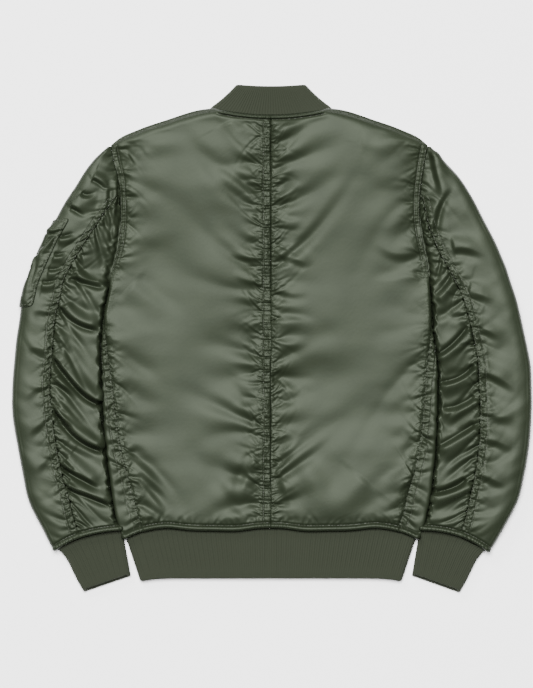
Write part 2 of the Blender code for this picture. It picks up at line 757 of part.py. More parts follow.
def collar_front_station(sign, part):
    base, edge = front_neck(part)
    z = RIB_LOWER
    return rib_section((sign * base[0], base[1], z), (sign * edge[0], edge[1], z), (0, 0, -1))


def collar_back_station(part, turn):
    away = math.cos(turn) * math.copysign(1.0, part)
    base_x = part * (NECK_HALF - RIB_INSET) + RIB_TURN * away
    edge_x_here = part * (COLLAR_TOP_HALF - RIB_INSET) + RIB_TURN * away
    z = RIB_LOWER + RIB_TURN + RIB_TURN * math.sin(turn)
    base = (base_x, neck_y(base_x) + SEAM_GAP, z)
    rise = COLLAR_DIP * (edge_x_here / COLLAR_TOP_HALF) ** 2
    edge = (edge_x_here, COLLAR_TOP - 0.2 * COLLAR_DIP + rise, z)
    return rib_section(base, edge, (away, 0.0, math.sin(turn)))


def make_collar_rib():
    """A band from one end of the front neckline round the back to the other."""
    down = math.radians(-90.0)
    parts = np.linspace(1.0, 0.1, 8)
    stations = [collar_front_station(-1.0, part) for part in parts]
    stations += [collar_back_station(-1.0, turn) for turn in turn_steps()]
    stations += [collar_back_station(part, -down) for part in np.linspace(-1.0, 1.0, 15)]
    stations += [collar_back_station(1.0, turn) for turn in reversed(turn_steps())]
    stations += [collar_front_station(1.0, part) for part in parts[::-1]]
    loft("collar_rib", stations, RIB)


# Mouth of each cuff: its two corners, x outwards
Mouth = namedtuple("Mouth", "inner_x inner_y outer_x outer_y")
MOUTHS = {
    "left": Mouth(203.3, -344.5, 271.1, -367.7),
    "right": Mouth(204.3, -344.2, 273.0, -368.6),
}
CUFF_NARROWER = 5.0  # how far the cuff stands in from the sleeve's outer edge
CUFF_GAP = 0.45
CUFF_CLEAR = 0.4  # from the side of the body


def cuff_line(side):
    """Seam of a cuff as points along the end of the sleeve, from its inner to its outer edge."""
    inner, seam, outer = sleeve_line(side, len(side.sleeve) - 1.0)
    along = (outer - inner) / np.linalg.norm(outer - inner)
    shift = np.array((along[1], -along[0])) * CUFF_GAP
    first = (seam - inner) / np.linalg.norm(seam - inner)
    last = (outer - seam) / np.linalg.norm(outer - seam)
    return inner + first * CUFF_CLEAR + shift, seam + shift, outer - last * CUFF_NARROWER + shift


def cuff_station(side, part, turn):
    """Section of a cuff at this part of its width, 0 inside and 1 outside."""
    inner, seam, outer = cuff_line(side)
    first = float(np.linalg.norm(seam - inner))
    second = float(np.linalg.norm(outer - seam))
    swing = RIB_TURN * math.cos(turn) * math.copysign(1.0, part - 0.5)
    place = RIB_INSET + part * (first + second - 2.0 * RIB_INSET) + swing
    if place < first:
        along_base = (seam - inner) / first
        base = inner + along_base * place
    else:
        along_base = (outer - seam) / second
        base = seam + along_base * (place - first)
    mouth = MOUTHS[side.name]
    inner_end = np.array((mouth.inner_x, mouth.inner_y))
    outer_end = np.array((mouth.outer_x, mouth.outer_y))
    width = float(np.linalg.norm(outer_end - inner_end))
    along_edge = (outer_end - inner_end) / width
    edge = inner_end + along_edge * (RIB_INSET + part * (width - 2.0 * RIB_INSET) + swing)
    away = along_base * math.cos(turn) * math.copysign(1.0, part - 0.5)
    z = RIB_LOWER + RIB_TURN + RIB_TURN * math.sin(turn)
    section = rib_section((*base, z), (*edge, z), (*away, math.sin(turn)))
    return [(side.sign * x, y, z) for x, y, z in section]


def make_cuff(side):
    down = math.radians(-90.0)
    parts = np.linspace(0.0, 1.0, 9)
    stations = [cuff_station(side, part, -down) for part in parts]
    stations += [cuff_station(side, 1.0, turn) for turn in reversed(turn_steps())]
    stations += [cuff_station(side, part, down) for part in parts[::-1]]
    stations += [cuff_station(side, 0.0, turn) for turn in turn_steps()]
    loft("cuff_rib_" + side.name, stations, RIB, closed=True)


# ---- zip, on the underside ----

TAPE_LOW = 2.2
TAPE_HIGH = 3.6
CHAIN_LOW = 1.1
CHAIN_HIGH = 4.6
CHAIN_HALF = 2.5
ZIP_BOTTOM = HEM_EDGE + 1.5
ZIP_TOP = NECK_FRONT - 2.0


def make_zip_half(side):
    """Tape with the row of teeth along its edge as one plain bead."""
    near = 0.5 * SEAM_GAP
    far = ZIP_HALF - SEAM_GAP
    profile = (
        (near, CHAIN_LOW),
        (CHAIN_HALF, CHAIN_LOW),
        (CHAIN_HALF, TAPE_LOW),
        (far, TAPE_LOW),
        (far, TAPE_HIGH),
        (CHAIN_HALF, TAPE_HIGH),
        (CHAIN_HALF, CHAIN_HIGH),
        (near, CHAIN_HIGH),
    )
    sections = [
        [(side.sign * x, y, z) for x, z in profile] for y in (ZIP_BOTTOM, ZIP_TOP)
    ]
    loft("zip_tape_" + side.name, sections, TAPE)


# Outline of the slider and its pull, from its nose down to the pull's end
PullRow = namedtuple("PullRow", "down half")
PULL = (
    PullRow(0.0, 3.4),
    PullRow(3.0, 4.4),
    PullRow(10.0, 4.2),
    PullRow(14.0, 2.4),
    PullRow(17.0, 1.6),
    PullRow(21.0, 2.4),
    PullRow(34.0, 3.0),
    PullRow(37.0, 2.2),
)
PULL_LOW = 0.2
PULL_HIGH = 0.8


def make_zip_slider():
    """Slider at the top of the zip with its pull folded flat below it."""
    top = ZIP_TOP - 4.0
    sections = []
    for row in PULL:
        y = top - row.down
        corners = (
            (-row.half, PULL_LOW),
            (row.half, PULL_LOW),
            (row.half, PULL_HIGH),
            (-row.half, PULL_HIGH),
        )
        sections.append([(x, y, z) for x, z in corners])
    loft("zip_slider", sections, METAL)


def main():
    for obj in list(bpy.data.objects):
        bpy.data.objects.remove(obj, do_unlink=True)
    for side in (LEFT, RIGHT):
        make_back(side)
        make_front(side)
        make_sleeve(side)
        make_cuff(side)
        make_zip_half(side)
    make_sleeve_pocket(LEFT)
    make_hem_rib()
    make_collar_rib()
    make_zip_slider()


main()
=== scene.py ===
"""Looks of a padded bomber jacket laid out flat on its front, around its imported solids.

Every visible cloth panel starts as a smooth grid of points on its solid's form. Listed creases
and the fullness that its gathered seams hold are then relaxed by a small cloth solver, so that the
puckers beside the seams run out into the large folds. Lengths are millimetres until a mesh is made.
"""

import logging
import math
from dataclasses import dataclass, field
from enum import Enum
from functools import partial
from typing import Callable, Iterable, Sequence

import bmesh
import bpy
import numpy as np
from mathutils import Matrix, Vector
from numpy.linalg import norm


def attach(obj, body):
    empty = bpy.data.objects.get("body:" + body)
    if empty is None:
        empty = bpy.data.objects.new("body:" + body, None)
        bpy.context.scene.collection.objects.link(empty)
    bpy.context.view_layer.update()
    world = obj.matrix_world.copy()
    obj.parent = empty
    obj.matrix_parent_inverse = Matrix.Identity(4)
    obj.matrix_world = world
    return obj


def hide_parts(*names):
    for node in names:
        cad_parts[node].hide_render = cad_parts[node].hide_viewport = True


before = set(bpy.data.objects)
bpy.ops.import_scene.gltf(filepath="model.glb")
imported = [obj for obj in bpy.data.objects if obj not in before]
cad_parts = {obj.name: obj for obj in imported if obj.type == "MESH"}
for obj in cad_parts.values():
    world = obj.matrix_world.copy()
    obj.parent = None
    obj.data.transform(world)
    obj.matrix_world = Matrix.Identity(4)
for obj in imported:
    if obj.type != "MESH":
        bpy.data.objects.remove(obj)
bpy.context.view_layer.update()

MM = 0.001
SEED = 41
# Attribute of a mesh that says how crinkled its cloth is
GATHER = "gather"
LOG = logging.getLogger("jacket")
Array = np.ndarray
BMesh = bmesh.types.BMesh
Material = bpy.types.Material
Socket = bpy.types.NodeSocket
Point = tuple[float, float]
# Height of each set of swells of a cloth, its size across and along, and its reach from a seam
Swells = tuple[tuple[float, float, float, float], ...]


# ---- sizes ----


@dataclass(frozen=True)
class Layers:
    """Heights of the cloth's layers above the surface it lies on."""

    lower_wall: float = 7.0
    upper_floor: float = 7.4
    seam_top: float = 16.4
    sleeve_seam: float = 12.0
    fold_middle: float = 8.0
    body_top: float = 20.5
    sleeve_top: float = 22.5
    thin_edge: float = 1.5


@dataclass(frozen=True)
class Places:
    """Heights along the jacket and widths from its centre line."""

    hem_seam: float = -279.0
    hem_edge: float = -348.0
    neck_back: float = 324.5
    neck_side: float = 334.0
    neck_front: float = 264.5
    collar_top: float = 366.5
    shoulder_tip: float = 280.0
    underarm: float = 34.0
    armhole_end: float = 92.0
    neck_half: float = 82.6
    collar_top_half: float = 50.0
    collar_front_depth: float = 46.0
    collar_dip: float = 2.5
    zip_half: float = 5.0
    hem_rib_half: float = 210.0
    hem_edge_half: float = 189.5
    hem_sag: float = 15.0
    edge_sag: float = 4.5
    sag_start: float = 140.0
    sag_span: float = 70.0
    sag_fade: float = 70.0
    seam_gap: float = 0.3
    sleeve_clear: float = 0.15


LAYERS = Layers()
PLACES = Places()


class SideName(Enum):
    """The wearer's sides."""

    LEFT = "left"
    RIGHT = "right"


# Outline of the body: y, half width, and how far the front wraps onto the back
BODY_ROWS = {
    SideName.LEFT: (
        (-279, 211.0, 24.0), (-265, 219.0, 31.0), (-229, 229.8, 31.0), (-198, 234.2, 26.9),
        (-166, 238.2, 22.2), (-124, 242.2, 19.6), (-69, 244.5, 15.4), (-40, 245.0, 11.6),
        (-10, 245.5, 7.7), (12, 244.5, 3.8), (34, 242.2, 0.0), (69, 235.3, 0.0),
        (93, 232.0, 0.0), (112, 226.2, 0.0), (135, 220.8, 0.0), (163, 218.1, 0.0),
        (199, 218.4, 0.0), (228, 220.8, 0.0), (256, 227.7, 0.0), (280, 232.0, 0.0),
    ),
    SideName.RIGHT: (
        (-279, 211.0, 24.0), (-265, 219.0, 33.0), (-229, 230.5, 34.0), (-198, 234.9, 29.0),
        (-166, 238.2, 25.0), (-124, 240.4, 21.5), (-69, 241.6, 19.0), (-40, 241.3, 15.8),
        (-10, 237.1, 8.0), (12, 234.6, 2.8), (34, 232.9, 0.0), (69, 231.0, 0.0),
        (93, 228.1, 0.0), (112, 225.5, 0.0), (135, 220.4, 0.0), (163, 216.0, 0.0),
        (199, 215.3, 0.0), (228, 218.2, 0.0), (256, 222.6, 0.0), (280, 226.9, 0.0),
    ),
}

# How far above the hem seam the padding is still drawn in
HEM_REACH = {SideName.LEFT: 32.0, SideName.RIGHT: 52.0}

# How far the hem seam hangs down where the back's folds meet it, by the width from the centre
HEM_RIPPLE = (
    (0.0, -2.9), (16.0, -2.4), (50.0, 1.6), (82.0, 1.3), (116.0, 0.5), (150.0, -2.8), (180.0, -1.6),
    (210.0, -2.6),
)

# Drop of the shoulder line, by the fraction of the way from the neck to its tip
SHOULDER_ROWS = ((0.0, 0.0), (0.14, 2.8), (0.46, 17.3), (0.74, 31.8), (0.94, 46.3), (1.0, 54.0))

# Sections across each sleeve: y where it leaves the body, then the back seam and the outer fold,
# outwards and upwards from there
SLEEVE_ROWS = {
    SideName.LEFT: (
        (278, 0, 0, 5, 0), (262, 0, 0, 29, -4), (241, 0, 0, 53, -10), (215, 0, 0, 77, -14),
        (186, 24, -5, 96, -17), (154, 46, -8, 112, -16), (125, 60, -8, 120, -16),
        (96, 67, -8, 123, -14), (64, 69, -5, 125, -8), (34, 70, -6, 123, -9),
        (-10, 70, -1, 125, -2), (-62, 75, 0, 130, 0), (-114, 74, 3, 132, 4),
        (-162, 71, 3, 129, 6), (-205, 68, 3, 126, 5), (-230, 63, 2, 121, -5),
        (-252, 60.5, -3.5, 106, -18), (-268.5, 58, -9.5, 97.5, -28),
    ),
    SideName.RIGHT: (
        (278, 0, 0, 5, 0), (263, 0, 0, 23, -1), (244, 0, 0, 52, -10), (218, 0, 0, 76, -16),
        (189, 8, -3, 93, -16), (157, 15, -4, 107, -14), (128, 23, -6, 114, -13),
        (99, 34, -6, 119, -13), (67, 45, -4, 124, -8), (34, 53, -3, 130, -6),
        (-10, 58, 0, 134, 0), (-62, 59, 0, 136, 0), (-114, 62, 3, 137, 4),
        (-162, 62, 3, 136, 6), (-205, 60, 3, 133, 5), (-230, 57, 1, 127, -4),
        (-252, 56, -2.5, 111, -18), (-268.5, 54.5, -7.5, 99, -30),
    ),
}


# ---- curves ----


def ease(t: Array) -> Array:
    """Returns 0 below t = 0, 1 above t = 1, and a smooth step between."""
    t = np.clip(t, 0.0, 1.0)
    return t * t * (3.0 - 2.0 * t)


def smooth_through(knots: Sequence[float], values: Sequence[float], at: Array) -> Array:
    """Reads a smooth curve that passes through given values.

    Args:
        knots: Rising places of the values.
        values: The values.
        at: Places to read.

    Returns:
        The curve's value at each place.
    """
    x, v = np.asarray(knots, float), np.asarray(values, float)
    slopes = np.gradient(v, x)
    at = np.clip(at, x[0], x[-1])
    i = np.clip(np.searchsorted(x, at) - 1, 0, len(x) - 2)
    span = x[i + 1] - x[i]
    t = (at - x[i]) / span
    rise = t * t * (3 - 2 * t)
    bend = t * (1 - t) ** 2 * slopes[i] * span + t * t * (t - 1) * slopes[i + 1] * span
    return v[i] * (1 - rise) + v[i + 1] * rise + bend


def roll(distance: Array, reach: Array) -> Array:
    """Returns a quarter of an ellipse: 0 at a folded edge, 1 from reach inwards."""
    t = 1.0 - np.clip(distance / reach, 0.0, 1.0)
    return np.sqrt(np.maximum(0.0, 1.0 - t * t))


def bump(distance: Array, width: float) -> Array:
    """Returns a bell of this width round distance 0."""
    return np.exp(-((distance / width) ** 2))


def fading(distance: Array, reach: float) -> Array:
    """Returns 1 at distance 0, dying away over this reach."""
    return np.exp(-distance / reach)


def corner_cut(distance: Array, corner: float) -> Array:
    """Returns how far a rounded corner lies inside a square one, this far from its side."""
    return corner * (1.0 - roll(distance, corner))


def running(line: Array) -> Array:
    """Returns the running length at each point of a line."""
    return np.concatenate(([0.0], np.cumsum(norm(np.diff(line, axis=0), axis=1))))


def unit(vector: Array) -> Array:
    """Returns the direction of one vector."""
    return vector / norm(vector)


def level(x: Array, y: Array, z: Array) -> Array:
    """Returns points from their coordinates."""
    return np.stack(np.broadcast_arrays(x, y, z), axis=-1)


def plateau(distance: Array, low: float, high: float, soft: float) -> Array:
    """Returns 1 between two distances, easing to 0 over a soft margin at each."""
    return ease((distance - low) / soft + 0.5) * ease((high - distance) / soft + 0.5)


def waves(rng: np.random.Generator, x: Array, y: Array, wide: float, tall: float) -> Array:
    """Smooth random relief.

    Args:
        rng: Source of the values.
        x: Places across.
        y: Places along.
        wide: Spacing of the values across.
        tall: Spacing of the values along.

    Returns:
        Heights of about 1 at each place.
    """
    a, b = (y - y.min()) / tall, (x - x.min()) / wide
    grid = rng.normal(size=(int(a.max()) + 2, int(b.max()) + 2))
    i, j = a.astype(int), b.astype(int)
    t, u = ease(a - i), ease(b - j)
    low = grid[i, j] * (1 - u) + grid[i, j + 1] * u
    high = grid[i + 1, j] * (1 - u) + grid[i + 1, j + 1] * u
    return low * (1 - t) + high * t


# ---- outline of the body ----


@dataclass(frozen=True)
class BodyShape:
    """Plan and loft of one half of the body, x outwards from the centre seam."""

    side: SideName
    fold_high: float = 16.5
    fold_reach: float = 5.5
    armhole_reach: float = 20.0
    centre_pinch: float = 0.35
    centre_reach: float = 20.0
    top_reach: float = 3.5
    neck_rise: float = 9.0
    rise_start: float = 80.0
    rise_span: float = 240.0
    fold_ends: float = 24.0
    hem_start: float = 3.0
    top_start: float = 1.0

    @property
    def left(self) -> bool:
        """Whether this is the wearer's left side."""
        return self.side is SideName.LEFT

    @property
    def sign(self) -> float:
        """Direction of this side along X."""
        return -1.0 if self.left else 1.0

    def column(self, index: int) -> list[float]:
        """Returns one column of this side's outline."""
        return [row[index] for row in BODY_ROWS[self.side]]

    def edge(self, y: Array) -> Array:
        """Returns half the body's width at these heights."""
        return smooth_through(self.column(0), self.column(1), y)

    def strip(self, y: Array) -> Array:
        """Returns how far the front shows on the back at these heights."""
        return np.interp(y, self.column(0), self.column(2))

    def shoulder_y(self, x: Array) -> Array:
        """Returns the shoulder line's height at these widths."""
        tip = self.edge(PLACES.shoulder_tip)
        part = (x - PLACES.neck_half) / (tip - PLACES.neck_half)
        fractions, drops = zip(*SHOULDER_ROWS)
        return PLACES.neck_side - smooth_through(fractions, drops, part)

    def shoulder_x(self, y: Array) -> Array:
        """Returns the width at which the shoulder line has these heights."""
        tip = self.edge(PLACES.shoulder_tip)
        fractions, drops = zip(*SHOULDER_ROWS)
        part = np.interp(PLACES.neck_side - y, drops, fractions)
        return PLACES.neck_half + (tip - PLACES.neck_half) * part

    def top_y(self, x: Array) -> Array:
        """Returns the height of the neck or shoulder line at these widths."""
        return np.where(x < PLACES.neck_half, neck_y(x), self.shoulder_y(x))

    def to_top(self, x: Array, y: Array) -> Array:
        """Returns how far these places lie below the neck or shoulder line."""
        return np.maximum(self.top_y(x) - y, 0.0)

    def folded(self, y: Array) -> Array:
        """Returns 1 where the side is a fold and 0 where it is the armhole."""
        return ease((PLACES.armhole_end - y) / self.fold_ends)

    def loft(self, x: Array, y: Array) -> Array:
        """Returns the height of the padded back, with no folds."""
        edge = np.where(y < PLACES.shoulder_tip, self.edge(y), self.shoulder_x(y))
        to_edge = np.maximum(edge - x, 0.0)
        to_hem = np.maximum(y - PLACES.hem_seam, 0.0) + self.hem_start
        folded = self.folded(y)
        risen = self.neck_rise * ease((y - self.rise_start) / self.rise_span)
        full = LAYERS.body_top + risen - self.fold_high
        rounded = self.fold_high + full * roll(to_edge, self.fold_reach)
        above = LAYERS.body_top + risen - LAYERS.seam_top
        sewn = LAYERS.seam_top + above * (1.0 - fading(to_edge, self.armhole_reach))
        height = folded * rounded + (1.0 - folded) * sewn
        pinch = 1.0 - self.centre_pinch * fading(x, self.centre_reach)
        pinch *= 1.0 - fading(to_hem, HEM_REACH[self.side])
        pinch *= 1.0 - fading(self.to_top(x, y) + self.top_start, self.top_reach)
        return height + np.maximum(height - LAYERS.seam_top, 0.0) * (pinch - 1.0)


def neck_y(x: Array) -> Array:
    """Returns the back neckline's height at these widths."""
    return PLACES.neck_back + (PLACES.neck_side - PLACES.neck_back) * (x / PLACES.neck_half) ** 2


def hem_sag(x: Array, y: Array) -> Array:
    """Returns how far the corners of the hem hang below its middle."""
    side = np.clip((np.abs(x) - PLACES.sag_start) / PLACES.sag_span, 0.0, 1.0) ** 3
    along = (PLACES.hem_seam - y) / (PLACES.hem_seam - PLACES.hem_edge)
    on_rib = PLACES.hem_sag + (PLACES.edge_sag - PLACES.hem_sag) * along
    on_body = PLACES.hem_sag * (1.0 - ease((y - PLACES.hem_seam) / PLACES.sag_fade))
    ripple = smooth_through(*zip(*HEM_RIPPLE), np.abs(x))
    ripple *= np.where(y < PLACES.hem_seam, 1.0 - ease(along * 3.0), on_body / PLACES.hem_sag)
    return side * np.where(y < PLACES.hem_seam, on_rib, on_body) + ripple


# ---- creases ----


@dataclass(frozen=True)
class Crease:
    """A fold along a curve through three points: a ridge with a trough on each side.

    Lean makes one flank steeper and its trough deeper. A crisp fold has a sharp crack at its foot.
    The troughs' places are in widths of the fold, and the fades are parts of its length.
    """

    start: Point
    middle: Point
    end: Point
    width: float
    height: float
    lean: float = 0.0
    fade: float = 0.6
    crisp: float = 0.0
    steps: int = 12
    far: float = 6.5
    steeper: float = 0.7
    gentler: float = 1.1
    trough: float = 0.35
    trough_out: float = 1.7
    lean_trough: float = 0.3
    crack_out: float = 1.6
    crack_wide: float = 0.5
    start_fade: float = 0.12

    def line(self) -> Array:
        """Returns points along the curve."""
        t = np.linspace(0.0, 1.0, self.steps + 1)[:, None]
        a, b, c = (np.array(p, float) for p in (self.start, self.middle, self.end))
        control = 2.0 * b - 0.5 * (a + c)
        return (1 - t) ** 2 * a + 2 * t * (1 - t) * control + t * t * c

    def places(self, line: Array, x: Array, y: Array) -> tuple[Array, Array]:
        """Returns how far these places lie across the curve and along it, the latter from 0 to 1."""
        best = np.full(x.shape, np.inf)
        across, along = np.zeros_like(x), np.zeros_like(x)
        for i, (p, q) in enumerate(zip(line, line[1:])):
            run = q - p
            square = float(np.hypot(*run)) ** 2
            part = np.clip(((x - p[0]) * run[0] + (y - p[1]) * run[1]) / square, 0.0, 1.0)
            gap = np.hypot(x - p[0] - part * run[0], y - p[1] - part * run[1])
            closer = gap < best
            signed = np.copysign(gap, (x - p[0]) * run[1] - (y - p[1]) * run[0])
            best = np.where(closer, gap, best)
            across = np.where(closer, signed, across)
            along = np.where(closer, (i + part) / self.steps, along)
        return across, along

    def relief(self, x: Array, y: Array) -> Array:
        """Returns the fold's height at these places."""
        line = self.line()
        result = np.zeros_like(x)
        reach = self.far * self.width
        near = (x > line[:, 0].min() - reach) & (x < line[:, 0].max() + reach)
        near &= (y > line[:, 1].min() - reach) & (y < line[:, 1].max() + reach)
        if not near.any():
            return result
        across, along = self.places(line, x[near], y[near])
        lean = abs(self.lean)
        side = across if self.lean >= 0.0 else -across
        flank = np.where(side > 0.0, 1.0 - self.steeper * lean, 1.0 + self.gentler * lean)
        q = side / (self.width * flank)
        shape = np.exp(-q * q)
        shape -= (self.trough + self.lean_trough * lean) * bump(q - self.trough_out, 1.0)
        shape -= self.trough * (1.0 - lean) * bump(q + self.trough_out, 1.0)
        shape -= self.crisp * bump(q - self.crack_out, self.crack_wide)
        start = ease((along + 0.25 * self.start_fade) / self.start_fade)
        result[near] = self.height * shape * start * ease((1.0 - along) / self.fade)
        return result


def creases_of(*rows: tuple[float, ...]) -> tuple[Crease, ...]:
    """Returns folds of rows that hold x and y of their three points, then their other sizes."""
    return tuple(Crease(row[:2], row[2:4], row[4:6], *row[6:]) for row in rows)


def crease_relief(creases: Iterable[Crease], x: Array, y: Array) -> Array:
    """Returns the height of all these creases at these places."""
    total = np.zeros_like(x)
    for crease in creases:
        total += crease.relief(x, y)
    return total


# ---- cloth solver ----


def stretched(form: Array, fullness: Array, axis: int) -> Array:
    """Returns the steps between a grid's points along one axis, longer by the cloth's fullness."""
    full = np.moveaxis(fullness, axis, 0)
    mean = np.moveaxis(0.5 * (full[1:] + full[:-1]), 0, axis)
    return np.diff(form, axis=axis) * (1.0 + mean)[..., None]


def bend_of(values: Array) -> Array:
    """Returns the change of slope along the first axis, 0 at its ends."""
    result = np.zeros_like(values)
    result[1:-1] = values[2:] - 2 * values[1:-1] + values[:-2]
    return result


def loose(like: Array) -> Array:
    """Returns 1 for the points of a grid and 0 for its margin, which is sewn down."""
    free = np.zeros_like(like)
    free[1:-1, 1:-1] = 1.0
    return free


@dataclass
class Cloth:
    """A grid of cloth whose lengths are longer than its sewn edges, which makes it pucker.

    Rows run along the seams and columns away from them. Every array has the grid's rows and
    columns. Fullness is the extra length of the cloth, as a part of its length.
    """

    form: Array
    free: Array
    full_along: Array
    full_across: Array
    hold: Array
    target: Array
    least_z: Array
    stiffness: float
    keep: float = 0.004
    diagonal: float = 0.4
    points: Array = field(init=False)

    def __post_init__(self) -> None:
        """Works out the cloth's own lengths from its form and its fullness."""
        free = self.free[..., None]
        self.points = (self.form + free * (self.target - self.form)).astype(np.float32)
        along = stretched(self.form, self.full_along, 0)
        across = stretched(self.form, self.full_across, 1)
        mean_along = 0.5 * (along[:, :-1] + along[:, 1:])
        mean_across = 0.5 * (across[:-1] + across[1:])
        lengths = (along, across, mean_along + mean_across, mean_along - mean_across)
        self.rests = [norm(e, axis=-1).astype(np.float32) for e in lengths]
        self.weight = self.free.astype(np.float32)
        self.still = self.form.astype(np.float32)

    def pull(self, first: tuple, second: tuple, rest: Array, strength: float) -> None:
        """Moves pairs of points towards the length of cloth between them."""
        gap = self.points[second] - self.points[first]
        length = np.sqrt(np.einsum("...k,...k", gap, gap))
        w1, w2 = self.weight[first], self.weight[second]
        gap *= (strength * (length - rest) / (length * (w1 + w2) + 1e-9))[..., None]
        self.points[first] += gap * w1[..., None]
        self.points[second] -= gap * w2[..., None]

    def smooth(self) -> None:
        """Resists bending: evens the change of slope along rows and columns."""
        moved = self.points - self.still
        for axis in (0, 1):
            push = bend_of(bend_of(np.moveaxis(moved, axis, 0)))
            self.points -= self.stiffness * np.moveaxis(push, 0, axis) * self.weight[..., None]

    def settle(self, rounds: int) -> Array:
        """Relaxes the cloth.

        Args:
            rounds: How many times all lengths are corrected.

        Returns:
            The points.
        """
        rows, columns = self.weight.shape
        every = slice(None)
        low, high = slice(0, columns - 1), slice(1, columns)
        along, across, rising, falling = self.rests
        spring = np.empty(self.weight.shape + (3,), np.float32)
        spring[..., :2] = (self.weight * self.keep)[..., None]
        spring[..., 2] = self.weight * self.hold
        target = self.target.astype(np.float32)
        least = self.least_z.astype(np.float32)
        for _ in range(rounds):
            for p in (0, 1):
                r, r1 = slice(p, rows - 1, 2), slice(p + 1, rows, 2)
                self.pull((r, every), (r1, every), along[r], 1.0)
                self.pull((r, low), (r1, high), rising[r], self.diagonal)
                self.pull((r, high), (r1, low), falling[r], self.diagonal)
                c, c1 = slice(p, columns - 1, 2), slice(p + 1, columns, 2)
                self.pull((every, c), (every, c1), across[:, c], 1.0)
            self.smooth()
            self.points += spring * (target - self.points)
            np.maximum(self.points[..., 2], least, out=self.points[..., 2])
        return self.points


def between(grid: Array, rows: Array, columns: Array) -> Array:
    """Reads a grid of values smoothly between its points.

    Args:
        grid: Values by row and column.
        rows: Row places to read, as an increasing list.
        columns: Column places to read.

    Returns:
        A grid of values, one for each pair of places.
    """

    def read(values: Array, places: Array) -> Array:
        last = len(values) - 1
        i = np.clip(places.astype(int), 0, last - 1)
        t = (places - i).reshape((-1,) + (1,) * (values.ndim - 1))
        p0, p1 = values[np.maximum(i - 1, 0)], values[i]
        p2, p3 = values[i + 1], values[np.minimum(i + 2, last)]
        return 0.5 * (
            2 * p1 + (p2 - p0) * t
            + (2 * p0 - 5 * p1 + 4 * p2 - p3) * t**2
            + (3 * p1 - p0 - 3 * p2 + p3) * t**3
        )

    half = read(grid, rows)
    return np.moveaxis(read(np.moveaxis(half, 1, 0), columns), 0, 1)


# ---- materials ----


def linear(code: str) -> tuple[float, float, float, float]:
    """Turns an sRGB hex colour into linear values with full alpha."""
    parts = [int(code[i : i + 2], 16) / 255.0 for i in (1, 3, 5)]
    r, g, b = (p / 12.92 if p <= 0.04045 else ((p + 0.055) / 1.055) ** 2.4 for p in parts)
    return (r, g, b, 1.0)


def fill(owner: bpy.types.ID, node: bpy.types.Node, inputs: dict) -> None:
    """Sets sockets of a material's or world's node, by name, to values or links others to them.

    Args:
        owner: The material or world.
        node: The node.
        inputs: Values, or sockets of other nodes.
    """
    for name, value in inputs.items():
        socket = node.inputs[name]
        if isinstance(value, Socket):
            owner.node_tree.links.new(value, socket)
        else:
            socket.default_value = value


def add_node(
    material: Material, kind: str, inputs: dict | None = None, **settings: str
) -> bpy.types.Node:
    """Adds one shader node.

    Args:
        material: The material it goes in.
        kind: Its type without the leading ShaderNode, such as TexNoise.
        inputs: Values of its sockets, or sockets of other nodes to link to them.
        settings: Values of its own properties.

    Returns:
        The node.
    """
    node = material.node_tree.nodes.new("ShaderNode" + kind)
    for name, value in settings.items():
        setattr(node, name, value)
    fill(material, node, inputs or {})
    return node


class Recipe:
    """A material in the making. Sizes of patterns and depths of reliefs are in millimetres."""

    def __init__(self, name: str) -> None:
        """Starts the material."""
        self.material = bpy.data.materials.new(name)
        self.material.use_nodes = True
        self.at = add_node(self.material, "TexCoord").outputs["Object"]

    def noise(self, size: float, detail: float = 2.0) -> Socket:
        """Returns a cloudy pattern of this size."""
        inputs = {"Vector": self.at, "Scale": 1.0 / (size * MM), "Detail": detail}
        return add_node(self.material, "TexNoise", inputs).outputs["Fac"]

    def lines(self, pitch: float, way: str, uneven: float) -> Socket:
        """Returns slightly uneven lines at this pitch."""
        scale = 1.0 / (pitch * MM) / math.tau * 2.0
        inputs = {"Vector": self.at, "Scale": scale, "Distortion": uneven}
        return add_node(self.material, "TexWave", inputs, bands_direction=way).outputs["Fac"]

    def blend(self, part: Socket, deep: str, light: str) -> Socket:
        """Returns a mix of two colours."""
        inputs = {"Factor": part, "A": linear(deep), "B": linear(light)}
        return add_node(self.material, "Mix", inputs, data_type="RGBA").outputs["Result"]

    def relief(
        self, height: Socket, deep: float, strength: float, **below: Socket
    ) -> Socket:
        """Returns the directions of a relief, over another one where that is given as Normal."""
        inputs = {"Height": height, "Distance": deep * MM, "Strength": strength, **below}
        return add_node(self.material, "Bump", inputs).outputs["Normal"]

    def finish(self, inputs: dict) -> Material:
        """Fills in the shader's sockets and returns the material."""
        fill(self.material, self.material.node_tree.nodes["Principled BSDF"], inputs)
        return self.material


